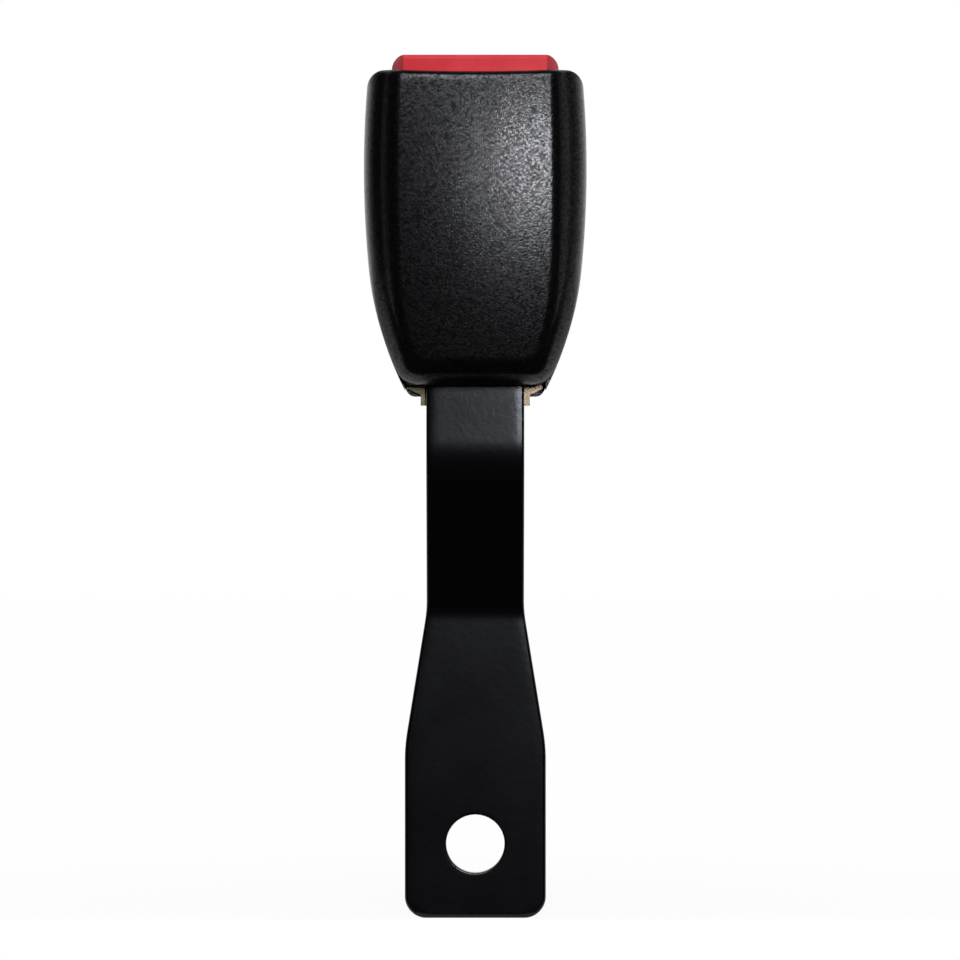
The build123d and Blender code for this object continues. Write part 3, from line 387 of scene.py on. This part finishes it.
def strap_surface():
    """The strap's front and back as sheets over a grid of heights and widths. A sheet
    stands half a thickness off the middle line, less a quarter-round where it nears
    the outline, and a wall joins the sheets all round. The bolt hole is a ring of
    spokes from a rectangle left out of both sheets to the hole's round rim."""
    low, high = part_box("anchor_strap")
    foot_half = high.x
    edge = STRAP_EDGE_R * (1 - np.cos(np.linspace(0, pi / 2, EDGE_POINTS)))
    foot_corner = np.linspace(STRAP_EDGE_R, FOOT_CORNER_R, CORNER_POINTS)[1:]
    foot_end = low.z + np.concatenate([edge, foot_corner])
    below = np.linspace(foot_end[-1], -HOLE_PATCH, 3)[1:]
    beside = np.linspace(-HOLE_PATCH, HOLE_PATCH, FACE_POINTS)[1:]
    top = high.z - edge[::-1]
    above = np.arange(HOLE_PATCH + STRAP_STEP, top[0] - STRAP_STEP / 2, STRAP_STEP)
    z = np.concatenate([foot_end, below, beside, above, top])
    first = len(foot_end) + len(below) - 1
    last = first + len(beside)

    half = foot_half - (foot_half - STRAP_HALF) * ramp(z, FLARE, FLARE_BLENDS)
    over = np.clip(low.z + FOOT_CORNER_R - z, 0, None)
    half = half - FOOT_CORNER_R + np.sqrt(FOOT_CORNER_R**2 - over**2)
    side = 1 - edge / foot_half
    flat = np.linspace(-side[-1], side[-1], FACE_POINTS)
    share = np.concatenate([-side[:-1], flat, side[-2::-1]])
    x = half[:, None] * share
    height = np.broadcast_to(z[:, None], x.shape)
    inside = strap_edge_distance(x, height, low.z, high.z, foot_half)
    inside = np.clip(inside, 0, STRAP_EDGE_R)
    off = STRAP_THICK / 2 - STRAP_EDGE_R
    off = off + np.sqrt(STRAP_EDGE_R**2 - (STRAP_EDGE_R - inside) ** 2)

    depth = -STRAP_THICK / 2 - JOGGLE_DEPTH * ramp(z, JOGGLE, JOGGLE_BLENDS)
    lean = np.arctan(-np.gradient(depth, z))[:, None]
    middle = np.broadcast_to(depth[:, None], x.shape)
    sheets = [
        np.stack([x, middle - shift * np.cos(lean), height - shift * np.sin(lean)], axis=-1)
        for shift in (off, -off)
    ]
    wall = np.stack([border(sheet) for sheet in sheets])

    columns = slice(EDGE_POINTS - 1, EDGE_POINTS - 1 + FACE_POINTS)
    cut = np.zeros(np.array(x.shape) - 1, bool)
    cut[first:last, columns.start:columns.stop - 1] = True
    quads = grid_quads(sheets[0])[~cut.reshape(-1)]

    frames = [border(sheet[first:last + 1, columns]) for sheet in sheets]
    angle = np.arctan2(frames[0][:, 2], frames[0][:, 0])
    rim = []
    for turn in np.linspace(0, pi / 2, RIM_POINTS):
        radius = HOLE_R + HOLE_RIM_R * (1 - np.sin(turn))
        y = np.full_like(angle, HOLE_RIM_R * (1 - np.cos(turn)))
        rim.append(np.stack([radius * np.cos(angle), y, radius * np.sin(angle)], axis=-1))
    front_rim = [ring + (0, -STRAP_THICK, 0) for ring in rim]
    back_rim = [ring * (1, -1, 1) for ring in rim]
    spread = np.linspace(0, 1, SPOKE_POINTS)[:, None, None]
    front_spokes = frames[0] + spread * (front_rim[0] - frames[0])
    back_spokes = frames[1] + spread * (back_rim[0] - frames[1])
    hole = np.concatenate([front_spokes, front_rim[1:], back_rim[:0:-1], back_spokes[::-1]])
    return [
        (sheets[0], quads),
        (sheets[1], quads),
        (wall, grid_quads(wall, ring=True)),
        (hole, grid_quads(hole, ring=True)),
    ]


strap = make_piece("anchor_strap_coated", strap_surface(), strap_coat(), "housing")
strap.modifiers.new("flat_faces_first", "WEIGHTED_NORMAL")
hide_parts("anchor_strap")


# ---------------------------------------------------------------- Frame and bridge
# A channel pressed from 2 mm steel and the cross plate riveted over its tenons,
# both zinc plated and passivated a pale straw yellow with a faint rainbow.

ZINC_YELLOW = (0.34, 0.29, 0.17, 1)
ZINC_GREEN = (0.27, 0.26, 0.19, 1)
ZINC_ROSE = (0.32, 0.25, 0.19, 1)


def two_tones(tree, share, dark, light):
    """A node that gives a colour between two tones."""
    tint = put(tree, "ShaderNodeValToRGB", {"Fac": share})
    tint.color_ramp.elements[0].color = dark
    tint.color_ramp.elements[1].color = light
    return tint


def frame_plate():
    """Passivated zinc: yellow drifting to green and rose, with a fine satin surface."""
    material, tree, shader, place = surface("frame_plate")
    tint = two_tones(tree, clouds(tree, place, scale=60.0), ZINC_GREEN, ZINC_ROSE)
    tint.color_ramp.elements.new(0.5).color = ZINC_YELLOW
    fill(shader, {
        "Metallic": 1.0,
        "Base Color": tint.outputs[0],
        "Roughness": clouds(tree, place, scale=300.0, low=0.14, high=0.24),
        "Normal": peeled(tree, place, hill=3000.0, strength=0.15, depth=0.02 * MM),
    })
    return material


def dress(material, *names):
    """Gives a finish to CAD nodes, in place of the plain one each came with."""
    for name in names:
        for place in nodes[name].material_slots:
            place.material = material


dress(frame_plate(), "frame", "frame_bridge")


# ---------------------------------------------------------------- Rivets, pins and bar
# Turned and headed from steel rod, zinc plated bright: two strap rivets, the latch's
# pivot pin and the hardened lock bar, all with faint rings left by the tool.

BRIGHT_STEEL = (0.58, 0.58, 0.57, 1)
DULL_STEEL = (0.40, 0.40, 0.39, 1)


def turned_steel():
    """Bright steel with rings along the rod's length and slow dull patches."""
    material, tree, shader, place = surface("pin_steel")
    rings = put(tree, "ShaderNodeTexWave", {
        "Vector": place, "Scale": 900.0, "Distortion": 1.5, "Detail": 1.0,
    }, wave_type="BANDS", bands_direction="X")
    tint = two_tones(tree, clouds(tree, place, scale=220.0), DULL_STEEL, BRIGHT_STEEL)
    fill(shader, {
        "Metallic": 1.0,
        "Base Color": tint.outputs[0],
        "Roughness": clouds(tree, place, scale=500.0, low=0.2, high=0.34),
        "Normal": bumped(tree, rings.outputs["Fac"], strength=0.12, depth=0.02 * MM),
    })
    return material


dress(turned_steel(), "strap_rivet_left", "strap_rivet_right", "pivot_pin", "lock_bar")


# ---------------------------------------------------------------- Latch plate
# The latch is fine-blanked from hardened steel and phosphated dark grey; the tongue
# and the lock bar rub it to bare steel in fine scratches.

PHOSPHATE_GREY = (0.075, 0.076, 0.078, 1)
RUBBED_STEEL = (0.36, 0.355, 0.345, 1)


def phosphated_steel():
    """Dark crystalline phosphate, rubbed to bare steel in fine vertical scratches."""
    material, tree, shader, place = surface("latch_steel")
    along = put(tree, "ShaderNodeMapping", {"Vector": place, "Scale": (1.0, 1.0, 0.08)})
    scratches = clouds(tree, along.outputs[0], scale=1800.0, low=-0.9, high=1.0)
    tint = two_tones(tree, scratches, PHOSPHATE_GREY, RUBBED_STEEL)
    crystals = put(tree, "ShaderNodeTexVoronoi", {"Vector": place, "Scale": 9000.0})
    fill(shader, {
        "Metallic": 0.9,
        "Base Color": tint.outputs[0],
        "Roughness": clouds(tree, place, scale=400.0, low=0.38, high=0.55),
        "Normal": bumped(tree, crystals.outputs["Distance"], strength=0.2, depth=0.02 * MM),
    })
    return material


dress(phosphated_steel(), "latch_plate")


# ---------------------------------------------------------------- Ejector and tongue guide
# Two acetal mouldings, the guide left in its natural milky white and the slide
# dark grey, both slippery and a little waxy, with the faint flow marks of the tool.

ACETAL_WHITE = (0.74, 0.73, 0.69, 1)
ACETAL_SHADE = (0.66, 0.64, 0.58, 1)
ACETAL_GREY = (0.12, 0.12, 0.13, 1)
ACETAL_DARK = (0.085, 0.085, 0.092, 1)


def acetal(name, dark, light, glow):
    """Waxy acetal between two tones, with a soft glow under its skin."""
    material, tree, shader, place = surface(name)
    tint = two_tones(tree, clouds(tree, place, scale=90.0), dark, light)
    fill(shader, {
        "Subsurface Weight": glow,
        "Subsurface Scale": 1.5 * MM,
        "Base Color": tint.outputs[0],
        "Roughness": clouds(tree, place, scale=260.0, low=0.26, high=0.38),
        "Normal": peeled(tree, place, hill=1400.0, strength=0.15, depth=0.03 * MM),
    })
    return material


dress(acetal("guide_plastic", ACETAL_SHADE, ACETAL_WHITE, glow=0.25), "tongue_guide")
dress(acetal("ejector_plastic", ACETAL_DARK, ACETAL_GREY, glow=0.0), "ejector")


# ---------------------------------------------------------------- Bumpers
# Two blocks of moulded rubber pressed over the flanges, dull and bloomed pale
# by the wax that comes out of the rubber with time.

RUBBER_BLACK = (0.016, 0.016, 0.017, 1)
RUBBER_BLOOM = (0.05, 0.05, 0.052, 1)


def bumper_rubber():
    """Black rubber with a patchy grey bloom and a dull pitted skin."""
    material, tree, shader, place = surface("bumper_rubber")
    tint = two_tones(tree, clouds(tree, place, scale=350.0), RUBBER_BLACK, RUBBER_BLOOM)
    fill(shader, {
        "Roughness": 0.82,
        "Base Color": tint.outputs[0],
        "Normal": peeled(tree, place, hill=2600.0, strength=0.3, depth=0.05 * MM),
    })
    return material


dress(bumper_rubber(), "button_bumper_left", "button_bumper_right")


# ---------------------------------------------------------------- Springs and clip
# Coils of drawn spring wire, oiled and blued brown by the oven after winding,
# and the stamped clip of the pivot pin, made of the same hard steel.

WIRE_BLUE = (0.22, 0.22, 0.24, 1)
WIRE_STRAW = (0.38, 0.34, 0.28, 1)
COIL_WIRE = 0.5 * MM
EJECTOR_WIRE = 0.45 * MM
COIL_STEPS = 28
WIRE_STEPS = 12
BUTTON_TRAVEL = 5.5 * MM
LATCH_TRAVEL = 4.75 * MM
EJECTOR_TRAVEL = 9.0 * MM
Y_AXIS, Z_AXIS = 1, 2


def spring_steel():
    """Drawn wire: dark blue grey to straw, smooth and a little oily."""
    material, tree, shader, place = surface("spring_steel")
    tint = two_tones(tree, clouds(tree, place, scale=180.0), WIRE_BLUE, WIRE_STRAW)
    fill(shader, {
        "Metallic": 1.0,
        "Base Color": tint.outputs[0],
        "Roughness": clouds(tree, place, scale=900.0, low=0.22, high=0.36),
    })
    return material


def coil_surface(name, wire, turns, axis):
    """Round wire wound along an axis of the box its node fills. The wire's ring of
    points is carried round at a steady rate and climbs only after a first closed turn
    and before a last one, where it lies flat on itself; its two cut ends are flat."""
    low, high = (np.array(corner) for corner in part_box(name))
    across = [(axis + 1) % 3, (axis + 2) % 3]
    middle = (low + high) / 2
    radius = min((high - low)[across]) / 2 - wire / 2
    length = (high - low)[axis]
    turned = np.linspace(0, turns, COIL_STEPS * turns + 1)
    rest = wire / length
    heights = [rest / 2, 1.5 * rest, 1 - 1.5 * rest, 1 - rest / 2]
    climb = np.interp(turned, [0, 1, turns - 1, turns], heights)
    ring = np.linspace(0, 2 * pi, WIRE_STEPS, endpoint=False)
    thick = np.full(turned.shape, wire / 2)
    turned, climb, thick = (np.concatenate([v[:1], v, v[-1:]]) for v in (turned, climb, thick))
    thick[[0, -1]] = 0
    out = radius + thick[:, None] * np.cos(ring)
    points = np.empty(out.shape + (3,))
    points[..., axis] = low[axis] + length * climb[:, None] + thick[:, None] * np.sin(ring)
    points[..., across[0]] = middle[across[0]] + out * np.cos(2 * pi * turned)[:, None]
    points[..., across[1]] = middle[across[1]] + out * np.sin(2 * pi * turned)[:, None]
    return [(points, grid_quads(points, ring=True))]


spring_wire = spring_steel()
dress(spring_wire, "pivot_pin_clip")
for name, wire, turns, axis, joint, travel in (
    ("button_spring_left", COIL_WIRE, 6, Z_AXIS, "button_slide", BUTTON_TRAVEL),
    ("button_spring_right", COIL_WIRE, 6, Z_AXIS, "button_slide", BUTTON_TRAVEL),
    ("latch_spring", COIL_WIRE, 3, Y_AXIS, "latch_pivot", LATCH_TRAVEL),
    ("ejector_spring", EJECTOR_WIRE, 5, Z_AXIS, "ejector_slide", EJECTOR_TRAVEL),
):
    winding = coil_surface(name, wire, turns, axis)
    coil = make_piece(name + "_coil", winding, spring_wire, "housing")
    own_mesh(coil)
    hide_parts(name)


# ---------------------------------------------------------------- Push button
# The button is moulded in signal red acrylonitrile plastic with a smooth, slightly
# satin skin, and its edges are rounded over.

BUTTON_RED = (0.82, 0.055, 0.075, 1)
BUTTON_DEEP = (0.75, 0.042, 0.058, 1)
BUTTON_EDGE = 0.8 * MM
EDGE_SEGMENTS = 3
FLAT_ANGLE = radians(1.0)
SHARP_ANGLE = radians(25.0)


def button_plastic():
    """Signal red plastic, a little uneven in depth, with a fine satin skin."""
    material, tree, shader, place = surface("button_plastic")
    tint = two_tones(tree, clouds(tree, place, scale=130.0), BUTTON_DEEP, BUTTON_RED)
    fill(shader, {
        "Specular IOR Level": 0.12,
        "Base Color": tint.outputs[0],
        "Roughness": clouds(tree, place, scale=300.0, low=0.3, high=0.42),
        "Normal": peeled(tree, place, hill=4000.0, strength=0.15, depth=0.02 * MM),
    })
    return material


def softened(source):
    """A merged copy of a CAD node's mesh, with its flats joined."""
    mesh = nodes[source].data.copy()
    mesh.transform(nodes[source].matrix_world)
    work = bmesh.new()
    work.from_mesh(mesh)
    bmesh.ops.remove_doubles(work, verts=work.verts, dist=WELD)
    bmesh.ops.dissolve_limit(work, angle_limit=FLAT_ANGLE, verts=work.verts, edges=work.edges)
    work.to_mesh(mesh)
    work.free()
    return mesh


button = add_piece(
    "push_button_soft", softened("push_button"), button_plastic(), "button"
)
rounding = button.modifiers.new("rounded_edges", "BEVEL")
rounding.width = BUTTON_EDGE
rounding.segments = EDGE_SEGMENTS
rounding.limit_method = "ANGLE"
rounding.angle_limit = SHARP_ANGLE
rounding.harden_normals = True
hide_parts("push_button")


# ---------------------------------------------------------------- Covers
# Two shells moulded in black polypropylene from an etched tool, which gives them
# a fine pebbled grain. The front one carries a crowned panel between leaning flanks.

COVER_BLACK = (0.0018, 0.0019, 0.0022, 1)
COVER_PALE = (0.0040, 0.0042, 0.0050, 1)
COVER_SHEEN = (0.93, 0.945, 1.0, 1)
GRAIN_CELLS = 2600.0

# The outline from the front, as (half width, height), and the corners at its ends.
COVER_WALL = 1.7 * MM
CHIN_Z = 98.0 * MM
CHIN_HALF = 15.2 * MM
CHIN_CORNER_R = 2.0 * MM
HIP = (20.3 * MM, 111.0 * MM)
WAIST = (22.5 * MM, 123.4 * MM)
WIDEST = (23.44 * MM, 144.0 * MM)
RIM = (22.45 * MM, 163.9 * MM)
RIM_MIDDLE_Z = 163.2 * MM
RIM_DIP = (140.0 * MM, 160.0 * MM)
RIM_DIP_BLENDS = (5.0 * MM, 5.0 * MM)
RIM_CORNER_R = 3.7 * MM
RIM_EDGE_R = 1.6 * MM

# The section: how far forward its parts stand, and the crown as (forward, height).
PARTING = 19.5 * MM
SHOULDER = 22.4 * MM
SHOULDER_R = 9.0 * MM
FLANK_LEAN = radians(37.6)
FLANK_END = 9.0 * MM
PANEL_SOFTNESS = 1.8 * MM
PANEL_CORNER = 3.0 * MM
CROWN = ((30.2 * MM, 102.2 * MM), (33.69 * MM, 142.0 * MM), (33.1 * MM, 163.9 * MM))
CROWN_ACROSS_R = 190.0 * MM

# The button's opening seen from above: straight sides, slopes and a straight front.
OPENING_HALF = 17.85 * MM
OPENING_FACE_HALF = 15.2 * MM
OPENING_FRONT = 30.55 * MM
OPENING_SLOPE_START = 25.1 * MM
BAND_DEPTH = 2.5 * MM
NEARLY_NONE = 1e-9

# Points across each part of a section.
SIDE_POINTS = 3
SHOULDER_POINTS = 11
FLANK_POINTS = 22
PANEL_POINTS = 25

# Heights of the sections: points on the chin's and the rim's rounding, then where
# the rows of the bevel, the side and the rim's corners begin or end, and their steps.
ROUND_POINTS = 7
CHIN_GAP = 0.3 * MM
BEVEL_TOP, BEVEL_STEP = 107.0 * MM, 0.4 * MM
SIDE_ROWS, SIDE_STEP = (107.6 * MM, 158.5 * MM), 1.2 * MM
CORNER_FOOT, CORNER_STEP = 159.0 * MM, 0.45 * MM
RIM_GAP = 0.2 * MM
INNER_ROWS = 40


def pebble_group():
    """Etched grain: rounded cells of uneven size, sunk at their seams."""
    group, given = new_group(
        "pebble", {"Vector": "vector", "Cells": "float"}, {"Height": "float", "Speck": "float"}
    )
    cells = put(group, "ShaderNodeTexVoronoi", {
        "Vector": given["Vector"], "Scale": given["Cells"], "Smoothness": 0.35,
    }, feature="SMOOTH_F1")
    dome = put(group, "ShaderNodeMapRange", {
        "Value": cells.outputs["Distance"], "From Min": 0.15, "From Max": 0.75,
        "To Min": 1.0, "To Max": 0.0,
    }, interpolation_type="SMOOTHSTEP")
    speck = put(group, "ShaderNodeSeparateColor", {"Color": cells.outputs["Color"]})
    put(group, "NodeGroupOutput", {"Height": dome.outputs[0], "Speck": speck.outputs[0]})
    return group


def cover_plastic():
    """Black grained polypropylene: pebbles in bump and tone, each with a glint of its own."""
    material, tree, shader, place = surface("cover_plastic")
    grain = use_group(tree, pebble_group(), Vector=place, Cells=GRAIN_CELLS)
    tint = two_tones(tree, grain["Speck"], COVER_BLACK, COVER_PALE)
    glint = put(tree, "ShaderNodeMapRange", {
        "Value": grain["Speck"], "To Min": 0.15, "To Max": 0.85,
    })
    fill(shader, {
        "Base Color": tint.outputs[0],
        "Specular IOR Level": glint.outputs[0],
        "Specular Tint": COVER_SHEEN,
        "Roughness": clouds(tree, place, scale=40.0, low=0.23, high=0.25),
        "Normal": bumped(tree, grain["Height"], strength=0.33, depth=0.03 * MM),
    })
    return material


def arc_through(points, z):
    """The value at height z of the circle that passes through three (value, height) points."""
    (a, az), (b, bz), (c, cz) = points
    lines = np.array([[b - a, bz - az], [c - b, cz - bz]])
    middles = np.array([((a + b) / 2, (az + bz) / 2), ((b + c) / 2, (bz + cz) / 2)])
    centre = np.linalg.solve(lines, (lines * middles).sum(axis=1))
    radius = np.hypot(a - centre[0], az - centre[1])
    way = np.sign(b - centre[0])
    return centre[0] + way * np.sqrt(radius**2 - (z - centre[1]) ** 2)


def blend_low(a, b, softness):
    """The lower of two values, with the corner between them rounded off."""
    near = np.clip(softness - np.abs(a - b), 0, None)
    return np.minimum(a, b) - near**2 / (4 * softness)


def cover_half(z):
    """Half the housing's width: one arc from rim to waist and another down to the chin."""
    flank = arc_through((RIM, WIDEST, WAIST), np.clip(z, WAIST[1], None))
    hip = arc_through((WAIST, HIP, (CHIN_HALF, CHIN_Z)), np.clip(z, None, WAIST[1]))
    return np.where(z > WAIST[1], flank, hip)


def cover_sheet(z, wall, rim_r):
    """The cover's skin moved in by a wall, as one U-shaped section for each height: up
    the side from the parting line, round the shoulder, up the leaning flank, across the
    crowned panel and down the other side. The shoulder is an arc that ends where it has
    turned to the flank's lean. The skin stands forward by that profile or by the crown,
    whichever is lower, with the corner between them softened, and falls off over the
    rim in a quarter round of radius rim_r. The rim's middle dips below its ends."""
    foot, high = CHIN_Z + wall, z[-1]
    half = cover_half(z) - wall
    turn = np.clip(foot + CHIN_CORNER_R - z, 0, CHIN_CORNER_R)
    half = half - CHIN_CORNER_R + np.sqrt(CHIN_CORNER_R**2 - turn**2)
    turn = np.clip(z - (RIM[1] - wall - RIM_CORNER_R), 0, RIM_CORNER_R)
    half = half - RIM_CORNER_R + np.sqrt(RIM_CORNER_R**2 - turn**2)
    turns = np.linspace(0, pi / 2 - FLANK_LEAN, SHOULDER_POINTS)
    shoulder = SHOULDER_R * (1 - np.cos(turns))
    shoulder_end = SHOULDER_R * (1 - sin(FLANK_LEAN))
    flank = np.linspace(shoulder_end, FLANK_END, FLANK_POINTS)[1:]
    inset = np.concatenate([np.zeros(SIDE_POINTS), shoulder, flank])
    side = -(half[:, None] - inset)
    middle = side[:, -1:] * np.linspace(1, -1, PANEL_POINTS)[1:-1]
    x = np.concatenate([side, middle, -side[:, ::-1]], axis=1)
    z = np.broadcast_to(z[:, None], x.shape)

    slant = np.cos(np.arctan(np.gradient(cover_half(z[:, 0]), z[:, 0])))[:, None]
    beside = (cover_half(z) - wall - np.abs(x)) * slant
    inside = np.clip(blend_low(beside, z - foot, PANEL_CORNER), 0, None)
    arc = np.sqrt(SHOULDER_R**2 - (SHOULDER_R - np.clip(inside, 0, shoulder_end)) ** 2)
    climb = np.clip(inside - shoulder_end, 0, None) / tan(FLANK_LEAN)
    crown = arc_through(CROWN, z) - wall
    crown = crown - CROWN_ACROSS_R + np.sqrt(CROWN_ACROSS_R**2 - x**2)
    forward = blend_low(SHOULDER - wall + arc + climb, crown, PANEL_SOFTNESS)
    under_rim = np.clip(high - z, 0, rim_r)
    forward = forward - rim_r + np.sqrt(rim_r**2 - (rim_r - under_rim) ** 2)

    up = np.linspace(0, 1, SIDE_POINTS + 1)[:-1]
    first, last = forward[:, SIDE_POINTS, None], forward[:, -SIDE_POINTS - 1, None]
    forward[:, :SIDE_POINTS] = PARTING + up * (first - PARTING)
    forward[:, -SIDE_POINTS:] = PARTING + up[::-1] * (last - PARTING)
    dip = ramp(z[:, 0], RIM_DIP, RIM_DIP_BLENDS)[:, None]
    z = z + dip * ((RIM[1] - RIM_MIDDLE_Z) * (x / RIM[0]) ** 2 + RIM_MIDDLE_Z - RIM[1])
    return np.stack([x, -forward, z], axis=-1)


def opening_edge(rim):
    """The button's opening seen from above: each rim point drawn straight towards the
    middle of the parting line until it meets the opening's side, slope or front. The
    nearest point to each of the opening's corners is set on that corner."""
    across = np.clip(np.abs(rim[:, 0]), NEARLY_NONE, None)
    ahead = np.clip(-rim[:, 1] - PARTING, NEARLY_NONE, None)
    run = OPENING_HALF - OPENING_FACE_HALF
    climb = OPENING_FRONT - OPENING_SLOPE_START
    reach = climb * OPENING_HALF + run * (OPENING_SLOPE_START - PARTING)
    share = np.minimum(OPENING_HALF / across, (OPENING_FRONT - PARTING) / ahead)
    share = np.minimum(share, reach / (climb * across + run * ahead))
    lip = np.stack([rim[:, 0] * share, -PARTING - ahead * share, rim[:, 2]], axis=-1)
    bends = ((OPENING_FACE_HALF, OPENING_FRONT), (OPENING_HALF, OPENING_SLOPE_START))
    for side in (-1, 1):
        for x, forward in bends:
            corner = np.array([side * x, -forward])
            lip[np.hypot(*(lip[:, :2] - corner).T).argmin(), :2] = corner
    return lip


def front_cover_surface():
    """Outer skin, rim band, opening wall and inner skin in one grid of sections, closed
    along the chin and both parting edges."""
    round_up = 1 - np.cos(np.linspace(0, pi / 2, ROUND_POINTS))
    chin = CHIN_Z + CHIN_CORNER_R * round_up
    bevel = np.arange(chin[-1] + CHIN_GAP, BEVEL_TOP, BEVEL_STEP)
    long_side = np.arange(*SIDE_ROWS, SIDE_STEP)
    corner = np.arange(CORNER_FOOT, RIM[1] - RIM_EDGE_R - RIM_GAP, CORNER_STEP)
    rim = RIM[1] - RIM_EDGE_R * round_up[::-1]
    outer_rows = np.concatenate([chin, bevel, long_side, corner, rim])
    inner_rows = np.linspace(CHIN_Z + COVER_WALL, RIM[1] - BAND_DEPTH, INNER_ROWS)
    outer = cover_sheet(outer_rows, wall=0.0, rim_r=RIM_EDGE_R)
    inner = cover_sheet(inner_rows, wall=COVER_WALL, rim_r=0.0)
    lip = opening_edge(outer[-1])
    sunk = lip - (0, 0, BAND_DEPTH)
    inner_foot, outer_foot = (sheet[:1] * (1, 0, 1) - (0, PARTING, 0) for sheet in (inner, outer))
    band = np.stack([lip, sunk])
    outside = np.concatenate([outer_foot, outer, band])
    within = np.concatenate([inner_foot, inner])
    skin = np.concatenate([inner_foot, outside, inner[::-1], inner_foot])
    grids = [(skin, grid_quads(skin))]
    partner = np.abs(outside[:, :1, 2] - within[None, :, 0, 2]).argmin(axis=1)
    for column in (0, -1):
        wall = np.stack([outside[:, column], within[partner, column]])
        grids.append((wall, grid_quads(wall)))
    return grids


grained = cover_plastic()
dress(grained, "rear_cover")
front_cover = make_piece(
    "front_cover_grained", front_cover_surface(), grained, "housing"
)
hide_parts("front_cover")
